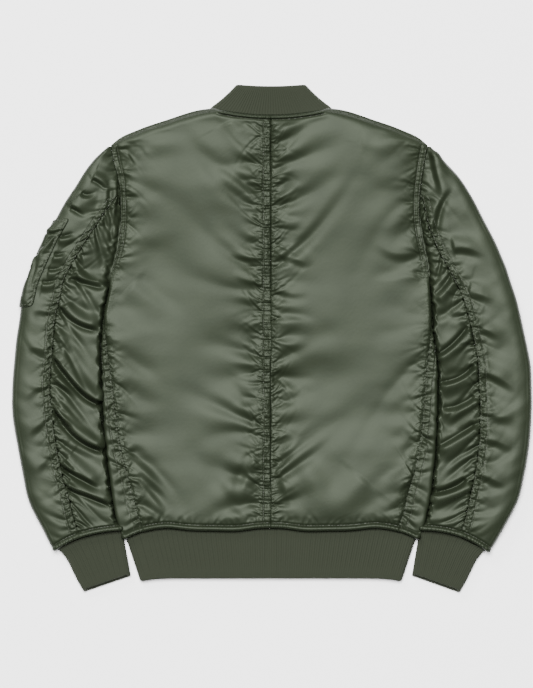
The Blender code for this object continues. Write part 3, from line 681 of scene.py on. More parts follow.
@dataclass(frozen=True)
class SatinNylon:
    """Satin-woven nylon: long floating threads give it soft, broad highlights."""

    deep: str = "#1b2116"
    light: str = "#22281c"
    roughness: float = 0.5
    specular: float = 0.15
    metallic: float = 0.32
    cloud_mm: float = 38.0
    crinkle_mm: float = 4.5
    crinkle_deep: float = 0.25
    pinch_mm: float = 4.0
    pinch_deep: float = 1.6
    # The threads are 0.15 mm apart, too fine to show, so the lines are drawn 1.1 mm apart
    thread_mm: float = 1.1
    thread_deep: float = 0.04

    def make(self) -> Material:
        """Returns the material."""
        recipe = Recipe("satin_nylon_piece_dyed")
        colour = recipe.blend(recipe.noise(self.cloud_mm, 3.0), self.deep, self.light)
        gather = add_node(recipe.material, "Attribute", attribute_name=GATHER).outputs["Fac"]
        pinch = {0: gather, 1: recipe.noise(self.pinch_mm, 1.0)}
        pinched = add_node(recipe.material, "Math", pinch, operation="MULTIPLY").outputs["Value"]
        thread = recipe.lines(self.thread_mm, "DIAGONAL", 0.6)
        soft = recipe.relief(recipe.noise(self.crinkle_mm, 4.0), self.crinkle_deep, 0.35)
        crumpled = recipe.relief(pinched, self.pinch_deep, 1.0, Normal=soft)
        return recipe.finish({
            "Base Color": colour,
            "Normal": recipe.relief(thread, self.thread_deep, 0.25, Normal=crumpled),
            "Roughness": self.roughness,
            "Specular IOR Level": self.specular,
            "Metallic": self.metallic,
        })


@dataclass(frozen=True)
class RibKnit:
    """Wool-blend rib knit: its loops scatter light, so it is matt and darker than the shell."""

    deep: str = "#171b11"
    light: str = "#1e2317"
    fuzz_colour: str = "#a4ab95"
    roughness: float = 0.9
    loop_mm: float = 1.3
    loop_deep: float = 0.2
    fuzz_mm: float = 0.9

    def make(self) -> Material:
        """Returns the material."""
        recipe = Recipe("rib_knit_wool_blend")
        fuzz = recipe.noise(self.fuzz_mm, 3.0)
        return recipe.finish({
            "Base Color": recipe.blend(fuzz, self.deep, self.light),
            "Normal": recipe.relief(recipe.lines(self.loop_mm, "Y", 1.5), self.loop_deep, 0.5),
            "Roughness": self.roughness,
            "Specular IOR Level": 0.25,
            "Sheen Weight": 0.08,
            "Sheen Roughness": 0.6,
            "Sheen Tint": linear(self.fuzz_colour),
        })


@dataclass(frozen=True)
class PlainFinish:
    """A finish of one colour with a fine grain."""

    name: str
    colour: str
    roughness: float
    metallic: float = 0.0
    grain_mm: float = 1.0
    grain_deep: float = 0.05

    def make(self) -> Material:
        """Returns the material."""
        recipe = Recipe(self.name)
        return recipe.finish({
            "Base Color": linear(self.colour),
            "Normal": recipe.relief(recipe.noise(self.grain_mm), self.grain_deep, 0.3),
            "Roughness": self.roughness,
            "Metallic": self.metallic,
        })


# Spun polyester sewing thread, a shade darker than the shell
THREAD = PlainFinish("sewing_thread_spun_polyester", "#23281c", 0.6)
# Woven polyester zip tape, flat and matt
ZIP_TAPE = PlainFinish("zip_tape_woven_polyester", "#454c39", 0.8)
# Nickel-plated brass, rubbed dull by wear
NICKEL = PlainFinish("nickel_plated_brass", "#b9b6ad", 0.32, 1.0)
# Matt paper, nearly white, which takes soft shadows
PAPER = PlainFinish("matt_paper", "#fcfcfc", 0.9)


@dataclass
class Wardrobe:
    """The materials of the jacket, made once."""

    shell: Material = field(default_factory=SatinNylon().make)
    rib: Material = field(default_factory=RibKnit().make)
    thread: Material = field(default_factory=THREAD.make)
    tape: Material = field(default_factory=ZIP_TAPE.make)
    metal: Material = field(default_factory=NICKEL.make)


# ---- meshes ----


def shaped_grid(
    name: str, points: Array, closed: bool, gather: Array | None = None
) -> BMesh:
    """A grid of faces moved onto these points.

    Args:
        name: Name of the scratch mesh.
        points: Points by row and column, in millimetres.
        closed: Whether each row closes on itself.
        gather: How crinkled the cloth is at each point, from 0 to 1; not at all by default.

    Returns:
        The bmesh, in metres.
    """
    gather = np.zeros(points.shape[:2]) if gather is None else gather
    if closed:
        points = np.concatenate((points, points[:, :1]), axis=1)
        gather = np.concatenate((gather, gather[:, :1]), axis=1)
    rows, columns = points.shape[:2]
    bm = bmesh.new()
    bmesh.ops.create_grid(bm, x_segments=columns - 1, y_segments=rows - 1, size=0.5)
    mesh = bpy.data.meshes.new(name)
    bm.to_mesh(mesh)
    places = np.empty(len(mesh.vertices) * 3, np.float32)
    mesh.vertices.foreach_get("co", places)
    places = places.reshape(-1, 3)
    order = np.lexsort((places[:, 0].round(6), places[:, 1].round(6)))
    places[order] = points.reshape(-1, 3) * MM
    mesh.vertices.foreach_set("co", places.ravel())
    values = np.empty(len(places), np.float32)
    values[order] = gather.ravel()
    mesh.attributes.new(GATHER, "FLOAT", "POINT").data.foreach_set("value", values)
    bm.clear()
    bm.from_mesh(mesh)
    bpy.data.meshes.remove(mesh)
    if closed:
        bmesh.ops.remove_doubles(bm, verts=bm.verts, dist=1e-7)
    return bm


def cap_ends(bm: BMesh) -> None:
    """Closes the open ends of a tube with one face each."""
    edges = [edge for edge in bm.edges if edge.is_boundary]
    if edges:
        bmesh.ops.edgeloop_fill(bm, edges=edges)


def finish_piece(
    name: str, bm: BMesh, material: Material, slot: str, *replaced: str, sharp: float = 60.0
) -> bpy.types.Object:
    """Makes one object of a bmesh, dresses it and sets it on the frame.

    Args:
        name: Name of the piece.
        bm: Its bmesh, which is freed.
        material: Its material.
        slot: Name of a material slot; not used.
        replaced: Nodes that it stands for.
        sharp: Angle in degrees above which an edge is sharp.

    Returns:
        The object.
    """
    bmesh.ops.recalc_face_normals(bm, faces=bm.faces)
    mesh = bpy.data.meshes.new(name)
    bm.to_mesh(mesh)
    bm.free()
    mesh.materials.append(material)
    mesh.shade_smooth()
    mesh.set_sharp_from_angle(angle=math.radians(sharp))
    piece = bpy.data.objects.new(name, mesh)
    bpy.context.scene.collection.objects.link(piece)
    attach(piece, "root")
    if replaced:
        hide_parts(*replaced)
    LOG.info("%s: %d faces", name, len(mesh.polygons))
    return piece


def tube_piece(
    name: str, rings: Array, material: Material, slot: str, node: str, gather: Array | None = None
) -> bpy.types.Object:
    """Makes a closed solid through rings of points.

    Args:
        name: Name of the piece.
        rings: Points by row and column, in millimetres.
        material: Its material.
        slot: Name of a material slot; not used.
        node: The node that it stands for.
        gather: How crinkled the cloth is on the first rows and columns.

    Returns:
        The object.
    """
    if gather is not None:
        rest = [(0, rings.shape[0] - gather.shape[0]), (0, rings.shape[1] - gather.shape[1])]
        gather = np.pad(gather, rest)
    bm = shaped_grid(name, rings, closed=True, gather=gather)
    cap_ends(bm)
    return finish_piece(name, bm, material, slot, node)


# ---- padded panels ----


@dataclass(frozen=True)
class Puckers:
    """Pinches that run away from a sewn line, at uneven places along it.

    Some rows have several rays that part from one place. The ridges' places are in widths.
    """

    pitch: float
    height: float
    reach: float
    width: float
    seed: int
    tilt: float = 0.35
    rays: int = 1
    lean: float = 0.0
    spread: float = 0.35
    fan: float = 0.34
    widening: float = 1.6
    reaches: tuple[float, float] = (0.45, 1.6)
    heights: tuple[float, float] = (0.4, 1.3)
    bow: float = 0.25
    ridge: float = 0.45
    ridge_out: float = 1.9
    ridge_wide: float = 0.9
    joined: float = 0.3
    parted: float = 7.0

    def relief(self, along: Array, away: Array, seed: int) -> Array:
        """Height of the pinches.

        Args:
            along: Distance along the line at each point.
            away: Distance from the line at each point.
            seed: The panel's seed, to which the row adds its own.

        Returns:
            Heights: sharp troughs with full ridges between them.
        """
        rng = np.random.default_rng(seed + self.seed)
        result = np.zeros_like(along)
        low, high = float(along.min()), float(along.max())
        count = int((high - low) / self.pitch) + 1
        places = low + self.pitch * (np.arange(count) + rng.uniform(-self.spread, self.spread, count))
        row_low, row_high = along.min(axis=1), along.max(axis=1)
        turns = self.fan * (np.arange(self.rays) - 0.5 * (self.rays - 1))
        for place, turn in ((place, turn) for place in places for turn in turns):
            reach = self.reach * rng.uniform(*self.reaches)
            depth = self.height * rng.uniform(*self.heights)
            tilt = self.lean + turn + rng.normal(0.0, self.tilt)
            bow = rng.normal(0.0, self.bow) / reach
            span = 4.0 * self.width + 3.0 * reach
            rows = (row_high > place - span) & (row_low < place + span)
            a, d = along[rows], away[rows]
            q = (a - place - tilt * d - bow * d * d) / (self.width * (1.0 + self.widening * d / reach))
            fade = bump(d, reach)
            if self.rays > 1:
                fade *= self.joined + (1.0 - self.joined) * ease(d / self.parted)
            ridges = self.ridge * np.exp(-0.5 * ((np.abs(q) - self.ridge_out) / self.ridge_wide) ** 2)
            result[rows] += depth * fade * (ridges - np.exp(-q * q))
        return result


@dataclass(frozen=True)
class RolledEdge:
    """An edge that is turned in over itself and stitched down, with small pinches."""

    depth: float = 8.5
    swell: float = 4.6
    sunk: float = 0.9
    pinch: float = 0.07
    pinch_pace: float = 1.35
    wander: float = 1.9
    wander_pace: float = 0.23
    tuck: float = 2.0
    tuck_reach: float = 1.5
    groove: float = 1.4
    groove_out: float = 0.6
    groove_wide: float = 1.8

    def height(self, distance: Array, along: Array) -> Array:
        """Height of the edge over the cloth.

        Args:
            distance: Distance from the edge.
            along: Places along the edge.

        Returns:
            The roll, and the groove of its stitching.
        """
        inward = np.minimum(distance, np.maximum(self.depth - distance, 0.0))
        bends = self.wander * np.sin(self.wander_pace * along)
        pinched = 1.0 + self.pinch * np.sin(self.pinch_pace * along + bends)
        rolled = self.swell * roll(inward, 0.5 * self.depth) * pinched - self.sunk
        height = np.where(distance < self.depth, rolled, 0.0)
        height -= self.tuck * fading(distance, self.tuck_reach)
        return height - self.groove * bump(distance - self.depth - self.groove_out, self.groove_wide)


def sewn_edge(out: Array, height: Array) -> Array:
    """Returns the move of a rolled edge, outwards where it bulges and straight down where it sinks."""
    level_part = out[..., :2] * np.maximum(height, 0.0)[..., None]
    return np.concatenate((level_part, (np.maximum(out[..., 2], 0.0) * height)[..., None]), axis=-1)


def normals_of(points: Array) -> Array:
    """Returns the direction out of a grid of points, at each point."""
    normal = np.cross(np.gradient(points, axis=1), np.gradient(points, axis=0))
    normal /= norm(normal, axis=-1, keepdims=True) + 1e-12
    return normal * np.where(normal[..., 2:].mean() < 0.0, -1.0, 1.0)


def distance_along(points: Array, axis: int) -> Array:
    """Returns the running length of a grid's rows or columns."""
    steps = norm(np.diff(points, axis=axis), axis=-1)
    pad = [(0, 0), (0, 0)]
    pad[axis] = (1, 0)
    return np.pad(np.cumsum(steps, axis=axis), pad)


def from_last(points: Array) -> Array:
    """Returns the distance of a grid's points from its last column, along its rows."""
    return distance_along(points[:, ::-1], 1)[:, ::-1]


def uneven(swells: Swells, seed: int, across: Array, along: Array, from_seam: Array) -> Array:
    """Random swells of the cloth, some of which die away from its seams.

    Args:
        swells: The sets of swells.
        seed: Seed of the values.
        across: Places across.
        along: Places along.
        from_seam: Distance from the nearest seam.

    Returns:
        Heights.
    """
    rng = np.random.default_rng(seed)
    total = np.zeros_like(along)
    for high, wide, tall, reach in swells:
        total += high * waves(rng, across, along, wide, tall) * fading(from_seam, reach)
    return total


@dataclass(frozen=True)
class Relaxing:
    """How a panel is relaxed: first every second point, then all of them."""

    coarse_step: int = 2
    coarse_rounds: int = 280
    coarse_stiffness: float = 0.06
    fine_rounds: int = 45
    fine_stiffness: float = 0.012
    quick_rounds: tuple[int, int] = (40, 10)

    def picked(self, count: int) -> Array:
        """Returns every second place of a row, and its last."""
        return np.unique(np.append(np.arange(0, count, self.coarse_step), count - 1))

    def run(self, cloth_at: Callable[[Array, Array, float], Cloth], u: Array, v: Array) -> Array:
        """Relaxes a panel.

        Args:
            cloth_at: Makes the panel's cloth at these places across and along, of this stiffness.
            u: Places across.
            v: Places along.

        Returns:
            The points, by row and column.
        """
        rounds = ((self.coarse_rounds, self.fine_rounds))
        pick_u, pick_v = self.picked(len(u)), self.picked(len(v))
        coarse = cloth_at(u[pick_u], v[pick_v], self.coarse_stiffness)
        moved = coarse.settle(rounds[0]) - coarse.still
        rows = np.interp(np.arange(len(v)), pick_v, np.arange(len(pick_v)))
        columns = np.interp(np.arange(len(u)), pick_u, np.arange(len(pick_u)))
        fine = cloth_at(u, v, self.fine_stiffness)
        points = fine.still + between(moved, rows, columns)
        fine.points = np.where(fine.weight[..., None] > 0.0, points, fine.still).astype(np.float32)
        return fine.settle(rounds[1]).astype(float)


def graded(length: float, near: float, start: float, end: float, wide: float) -> Array:
    """Places from 0 to 1 across a panel: this near at both sides, wider apart in the middle."""
    fine = np.linspace(0.0, length, 2000)
    to_side = np.minimum(fine / start, (length - fine) / end)
    spacing = near + (wide - near) * ease(to_side - 0.6)
    steps = np.concatenate(([0.0], np.cumsum(np.diff(fine) / spacing[1:])))
    return np.interp(np.linspace(0.0, steps[-1], round(steps[-1]) + 1), steps, fine) / length


# ---- back of the body ----


BACK_CREASES = {
    SideName.LEFT: creases_of(
        (20, -178, 34, -204, 46, -256, 10.4, 2.6, -0.4),
        (16, -150, 48, -196, 82, -262, 17.4, 2.2),
        (11, 182, 28, 190, 47, 194, 7.2, 1.9, 0.5),
        (11, 118, 34, 118, 66, 126, 7.2, 2.0, 0.5),
        (11, 82, 30, 84, 58, 96, 7.2, 1.6, 0.5),
        (11, 224, 30, 226, 46, 232, 6.5, 1.5, 0.4),
        (11, 26, 30, 22, 58, 18, 8.7, 1.7, -0.4),
        (11, -34, 34, -36, 70, -30, 8.7, 1.5, 0.4),
        (11, -96, 34, -100, 62, -112, 8.7, 1.4, -0.3),
        (206, 76, 168, 46, 120, 18, 15.0, 1.5, 0.3),
        (220, 128, 196, 122, 160, 128, 10.2, 1.2),
        (214, -166, 172, -208, 134, -248, 11.6, 3.2, 0.4),
        (201, -202, 172, -234, 152, -262, 8.7, 2.8, 0.4),
        (193, -247, 172, -260, 158, -268, 7.2, 2.2, 0.3),
        (232, -90, 196, -104, 150, -112, 13.0, 1.1),
        (62, 315, 46, 296, 18, 282, 13.0, 1.4, 0.3),
        (186, 270, 158, 281, 120, 276, 12.0, 0.8, 0.2),
        (205, 262, 188, 268, 166, 264, 8.7, 1.1, 0.3),
    ),
    SideName.RIGHT: creases_of(
        (4, 124, 42, 114, 58, 104, 8.0, 1.9, 0.4),
        (4, 176, 28, 168, 52, 172, 7.2, 1.5, -0.3),
        (4, 206, 24, 204, 44, 210, 7.2, 1.4, 0.3),
        (4, 72, 30, 66, 60, 70, 8.7, 1.6, 0.4),
        (4, 30, 34, 24, 66, 20, 8.7, 1.5, -0.4),
        (4, -2, 30, -8, 60, -4, 8.7, 1.4, 0.3),
        (4, -42, 34, -48, 70, -44, 9.4, 1.4, 0.3),
        (4, -70, 30, -78, 56, -92, 8.7, 1.2, -0.3),
        (9, -189, 22, -215, 36, -266, 10.4, 2.6, 0.4),
        (20, -160, 58, -205, 88, -262, 17.4, 2.2),
        (3, 282, 24, 297, 86, 301, 13.0, 1.6, 0.3),
        (130, 284, 160, 278, 182, 262, 12.0, 0.8, 0.2),
        (215, 131, 180, 124, 150, 146, 10.2, 1.7, -0.4),
        (211, 96, 176, 82, 140, 84, 11.6, 1.4, 0.3),
        (205, -196, 190, -213, 158, -259, 11.6, 3.6, -0.4),
        (138, -204, 106, -240, 78, -268, 17.4, 2.2),
        (226, -120, 190, -128, 150, -122, 13.0, 1.1),
    ),
}


@dataclass
class BackHalf:
    """One half of the back: a padded panel gathered along the centre seam and the armhole."""

    shape: BodyShape
    fine: float = 1.2
    near_seams: float = 1.05
    between_seams: float = 2.4
    near_wide: tuple[float, float] = (36.0, 32.0)
    hem_edge: RolledEdge = RolledEdge()
    neck_edge: RolledEdge = RolledEdge(7.0)
    neck_swell: float = 1.4
    neck_swell_wide: float = 2.4
    centre_gap: float = 0.02
    strip_wide: float = 10.9
    strip_high: float = 0.8
    band_wide: float = 7.2
    band_high: float = 0.9
    seam_groove: float = 0.9
    side_groove: float = 1.4
    shoulder_in: float = 4.2
    shoulder_groove: float = 0.9
    centre_rows: tuple[Puckers, ...] = (
        Puckers(5.4, 0.85, 9.0, 0.75, 0, 0.2, lean=0.2),
        Puckers(19.0, 0.75, 19.0, 1.3, 1, 0.12, rays=3, lean=0.25),
    )
    centre_broad: Puckers = Puckers(31.0, 2.5, 58.0, 5.0, 6, 0.25, lean=0.4)
    strip_row: Puckers = Puckers(4.4, 0.14, 9.0, 0.9, 7)
    side_rows: tuple[Puckers, ...] = (
        Puckers(5.0, 0.5, 7.0, 0.9, 2),
        Puckers(21.0, 0.6, 16.0, 1.6, 3, 0.12, rays=3),
        Puckers(34.0, 1.5, 50.0, 7.0, 8, 0.2, lean=-0.4),
    )
    hem_row: Puckers = Puckers(9.0, 0.8, 9.0, 1.3, 4)
    # The side is hardly gathered between these heights, where body and armhole meet
    calm: tuple[float, float] = (16.0, 88.0)
    swells: Swells = (
        (2.3, 80.0, 55.0, math.inf),
        (0.9, 42.0, 17.0, 45.0),
        (0.5, 20.0, 9.0, 30.0),
    )
    relaxing: Relaxing = Relaxing()

    def plan(self, u: Array, v: Array) -> tuple[Array, Array]:
        """Returns x and y of the panel's points before the hem sags."""
        side_y = PLACES.hem_seam + v * (PLACES.shoulder_tip - PLACES.hem_seam)
        side_x = self.shape.edge(side_y) - self.shape.strip(side_y) - 0.5 * PLACES.seam_gap
        tip = self.shape.edge(PLACES.shoulder_tip)
        x = np.maximum(u[None, :] * side_x[:, None], self.centre_gap)
        top = self.shape.top_y(u * tip)
        y = PLACES.hem_seam + v[:, None] * (top[None, :] - PLACES.hem_seam)
        return x, y

    def features(self, x: Array, y: Array, to_side: Array) -> Array:
        """Returns the height of rolls, grooves and seam allowances over the plain loft."""
        to_hem, to_top = y - PLACES.hem_seam, self.shape.to_top(x, y)
        inside = ease(to_hem / 10.0) * ease(to_top / 8.0)
        height = -self.seam_groove * bump(x, 1.0) * inside
        if self.shape.left:
            strip = plateau(x, 1.0, self.strip_wide - 0.4, 1.2)
            height += inside * self.strip_high * strip
            height -= inside * self.strip_high * bump(x - self.strip_wide, 1.0)
        band = ease((y - PLACES.armhole_end) / 40.0) * ease(to_top / 6.0)
        height += band * self.band_high * plateau(to_side, -2.0, self.band_wide - 1.2, 2.0)
        height -= band * bump(to_side - self.band_wide, 1.5)
        height -= self.shape.folded(y) * self.side_groove * bump(to_side, 2.2)
        height += self.hem_edge.height(to_hem, x)
        neck = ease((PLACES.neck_half - x) / 12.0)
        at_neck = self.neck_edge.height(to_top, x)
        at_neck += self.neck_swell * bump(to_top - 0.5 * self.neck_edge.depth, self.neck_swell_wide)
        at_shoulder = -self.shoulder_groove * bump(to_top - self.shoulder_in, 1.4)
        return height + neck * at_neck + (1.0 - neck) * at_shoulder

    @property
    def seed(self) -> int:
        """Seed of this half."""
        return SEED if self.shape.left else SEED + 10

    def cloth(self, u: Array, v: Array, stiffness: float) -> Cloth:
        """Returns the panel's cloth before it relaxes."""
        x, y = self.plan(u, v)
        to_hem, to_top, to_side = y - PLACES.hem_seam, self.shape.to_top(x, y), x[:, -1:] - x
        armhole = 1.0 - self.shape.folded(y)
        above = to_hem - self.hem_edge.depth
        inside = ease(above / 14.0) * ease((to_top - self.neck_edge.depth) / 12.0)
        base = self.shape.loft(x, y) + self.features(x, y, to_side)
        seam_x = np.maximum(x - (self.strip_wide if self.shape.left else 0.8), 0.0)
        folds = crease_relief(BACK_CREASES[self.shape.side], x, y - hem_sag(x, y)) * inside
        for row in self.centre_rows:
            folds += inside * row.relief(y, seam_x, self.seed)
        broad = inside * self.centre_broad.relief(y, seam_x, self.seed)
        folds += broad * (0.4 + 0.6 * ease(seam_x / 20.0))
        if self.shape.left:
            folds += inside * (x < self.strip_wide) * self.strip_row.relief(y, x, self.seed)
        near = np.maximum(to_side - self.band_wide * armhole, 0.0)
        gathered = inside * (1.0 - 0.8 * plateau(y, *self.calm, 16.0))
        for row in self.side_rows:
            folds += gathered * row.relief(y, near, self.seed)
        above = np.maximum(above, 0.0)
        hem_folds = self.hem_row.relief(x.T, above.T, self.seed).T
        folds += np.minimum(1.0, x / 12.0) * hem_folds * ease(above / 3.0)
        form = level(x, y, base + folds)
        along = (0.022 * fading(seam_x, 14.0) + 0.01 * fading(seam_x, 60.0)) * (seam_x > 0.0)
        along += gathered * (0.02 * fading(near, 12.0) + 0.006 * fading(near, 50.0))
        across = 0.03 * fading(to_hem, 20.0) + 0.03 * fading(to_top, 18.0) + 0.003
        noise = uneven(self.swells, self.seed + 5, x, y, np.minimum(x, to_side))
        noise *= inside * (1.0 - fading(x, 5.0)) * (1.0 - fading(to_side, 5.0))
        free = loose(x)
        free[to_hem < self.hem_edge.depth] = 0.0
        free[(to_top < self.neck_edge.depth) & (x < PLACES.neck_half)] = 0.0
        free[to_top < 2.0] = 0.0
        hold = 0.006 + 0.1 * bump(to_side - self.band_wide, 1.2) * armhole
        if self.shape.left:
            hold += 0.5 * (x < self.strip_wide + 1.0)
        target = form.copy()
        target[..., 2] += noise
        least = np.full_like(x, LAYERS.upper_floor + 1.5)
        return Cloth(form, free, along * inside, across * inside, hold, target, least, stiffness)

    def gather(self, x: Array, y: Array) -> Array:
        """Returns how crinkled the cloth is at these places."""
        from_seam = np.maximum(x - (self.strip_wide if self.shape.left else 0.0), 0.0)
        near = fading(from_seam, 5.0) + 0.8 * fading(x[:, -1:] - x, 6.0)
        return np.minimum(near, 1.0) * ease((y - PLACES.hem_seam - self.hem_edge.depth) / 6.0)

    def make(self, wardrobe: Wardrobe) -> tuple[Array, Array, Array]:
        """Builds the panel.

        Args:
            wardrobe: The materials.

        Returns:
            Its visible surface in place, by row and column, and its places across and along.
        """
        width = float(self.shape.edge(np.array(0.0)))
        u = graded(width, self.near_seams, *self.near_wide, self.between_seams)
        v = np.linspace(0.0, 1.0, int((PLACES.neck_back - PLACES.hem_seam) / self.fine) + 1)
        surface = self.relaxing.run(self.cloth, u, v)
        surface[..., 1] -= hem_sag(surface[..., 0], surface[..., 1])
        surface[..., 0] *= self.shape.sign
        rings = np.concatenate((surface, surface[:, -1:], surface[:, :1]), axis=1)
        rings[:, -2:, 2] = LAYERS.upper_floor
        rings = np.concatenate((rings[:1], rings, rings[-1:]))
        rings[[0, -1], :, 2] = LAYERS.upper_floor
        name = "back_panel_" + self.shape.side.value
        gather = self.gather(*self.plan(u, v))
        gather = np.concatenate((gather[:1], gather))
        piece = tube_piece("shell_" + name, rings, wardrobe.shell, "shell", name, gather)
        return surface, u, v


# ---- fronts ----


@dataclass
class FrontHalf:
    """One front: a padded panel on the surface that wraps up onto the back at its side."""

    shape: BodyShape
    fine: float = 1.25
    sag_part: float = 0.73
    arc_points: int = 12
    undercut: float = 5.5
    overhang_z: float = 15.0
    seam_sunk: float = 1.6
    hem_edge: RolledEdge = RolledEdge()
    band: float = 11.5
    band_groove: float = 0.7
    rows: tuple[Puckers, ...] = (
        Puckers(4.8, 0.8, 9.0, 0.85, 0),
        Puckers(11.0, 1.5, 26.0, 2.2, 2, lean=-0.3),
    )
    swells: Swells = ((0.8, 30.0, 14.0, math.inf),)
    # The panel's rows end at a fine step here and go on at a wide one, under the armhole
    shown_top: float = 62.0
    hidden_step: float = 7.0
    neck_rows: tuple[float, ...] = (
        264.5, 265.3, 267.0, 270.0, 274.5, 280.0, 287.0, 296.0, 305.0, 318.0, 330.0,
    )
    relaxing: Relaxing = Relaxing(coarse_rounds=200)

    def neckline(self, y: Array) -> Array:
        """Returns the panel's inner edge at these heights."""
        rise = np.clip((y - PLACES.neck_front) / (PLACES.neck_side - PLACES.neck_front), 0.0, 1.0)
        out = (PLACES.neck_half - PLACES.zip_half) * np.sqrt(1.0 - (1.0 - rise) ** 2)
        clear = 3.0 * PLACES.seam_gap * ease(rise / 0.02)
        return PLACES.zip_half + out + clear

    def outer(self, y: Array) -> Array:
        """Returns the panel's outer edge at these heights."""
        beside = self.shape.edge(y) + 0.5 * PLACES.seam_gap
        return np.where(y <= PLACES.shoulder_tip, beside, self.shape.shoulder_x(y))

    def radius(self, y: Array) -> Array:
        """Returns the radius of the side's fold at these heights."""
        return LAYERS.thin_edge + (LAYERS.fold_middle - LAYERS.thin_edge) * self.shape.folded(y)

    def section(self, u: Array, y: Array) -> Array:
        """Returns points from the surface round the fold to the side seam, u from 0 to 1."""
        outer, folded = self.outer(y)[:, None], self.shape.folded(y)[:, None]
        strip = np.where(y < PLACES.underarm, self.shape.strip(y), 0.0)[:, None]
        radius = self.radius(y)[:, None]
        tall = LAYERS.thin_edge + (self.shape.fold_high - LAYERS.thin_edge) * folded
        split = self.arc_points / (self.arc_points + 20.0)
        turn = np.minimum(u[None, :] / split - 1.0, 0.0) * 0.5 * math.pi
        part = np.clip((u[None, :] - split) / (1.0 - split), 0.0, 1.0)
        x = np.where(u[None, :] < split, outer - radius + radius * np.cos(turn), outer - strip * part)
        grid_y = np.broadcast_to(y[:, None], x.shape)
        plain = LAYERS.thin_edge + (LAYERS.lower_wall - LAYERS.thin_edge) * part
        wrapped = self.shape.loft(x, grid_y)
        wrapped -= folded * self.seam_sunk * bump((1.0 - part) * strip, 5.0)
        over = plain + (wrapped - plain) * folded
        z = np.where(u[None, :] < split, tall * (1.0 + np.sin(turn)), over)
        x = x - self.undercut * folded * (1.0 - ease(z / self.overhang_z)) * (1.0 - part)
        return level(x, grid_y, z)

    def cloth(self, u: Array, y: Array, stiffness: float) -> Cloth:
        """Returns the side of the panel before it relaxes."""
        form = self.section(u, y)
        grid_y = form[..., 1]
        seed = SEED + (50 if self.shape.left else 51)
        to_seam, to_hem = from_last(form), grid_y - PLACES.hem_seam
        folded = self.shape.folded(grid_y)
        inside = ease((to_hem - self.hem_edge.depth) / 10.0) * folded
        lift = sum(row.relief(grid_y, to_seam, seed) for row in self.rows)
        lift -= self.band_groove * bump(to_seam - self.band, 1.2)
        out, high = normals_of(form), ease(form[..., 2:] / 4.0)
        rolled = self.hem_edge.height(to_hem, to_seam) * folded * ease((form[..., 2] - 4.0) / 6.0)
        form = form + out * (lift * inside)[..., None] * high + sewn_edge(out, rolled)
        free = loose(to_seam)
        free[to_hem < self.hem_edge.depth] = 0.0
        along = 0.035 * fading(to_seam, 14.0) * inside
        noise = uneven(self.swells, seed + 4, to_seam, grid_y, to_seam)
        noise *= inside * (1.0 - fading(to_seam, 5.0))
        target = form + out * noise[..., None] * ease(form[..., 2:] / 4.0)
        zero = np.zeros_like(to_seam)
        hold = 0.02 + 0.1 * bump(to_seam - self.band, 1.2)
        return Cloth(form, free, along, zero, hold, target, zero, stiffness, keep=0.02)

    def make(self, wardrobe: Wardrobe) -> Array:
        """Builds the panel.

        Args:
            wardrobe: The materials.

        Returns:
            Its side in place, by row and column, from the surface to the side seam.
        """
        shown = np.arange(PLACES.hem_seam, self.shown_top, self.fine)
        hidden = np.arange(self.shown_top, PLACES.neck_front, self.hidden_step)
        u = np.linspace(0.0, 1.0, self.arc_points + 21)
        surface = self.relaxing.run(self.cloth, u, shown)
        plain = self.section(u, np.concatenate((hidden, self.neck_rows)))
        surface = np.concatenate((surface, plain))
        y = surface[:, 0, 1]
        inner = self.neckline(y)
        bend = inner + self.sag_part * (self.outer(y) - self.radius(y) - inner)
        middle = 0.5 * (inner + bend)
        back = (surface[:, -1, 0] - 0.05, bend, middle, inner)
        walls = [level(x, y, LAYERS.lower_wall)[:, None] for x in back]
        walls += [level(x, y, 0.0)[:, None] for x in (inner, middle, bend)]
        rings = np.concatenate((surface, *walls), axis=1)
        for grid in (rings, surface):
            grid[..., 1] -= hem_sag(grid[..., 0], grid[..., 1])
            grid[..., 0] *= self.shape.sign
        name = "front_panel_" + self.shape.side.value
        gather = fading(from_last(surface), 6.0) * (y < PLACES.underarm)[:, None]
        piece = tube_piece("shell_" + name, rings, wardrobe.shell, "shell", name, gather)
        return surface


# ---- sleeves ----


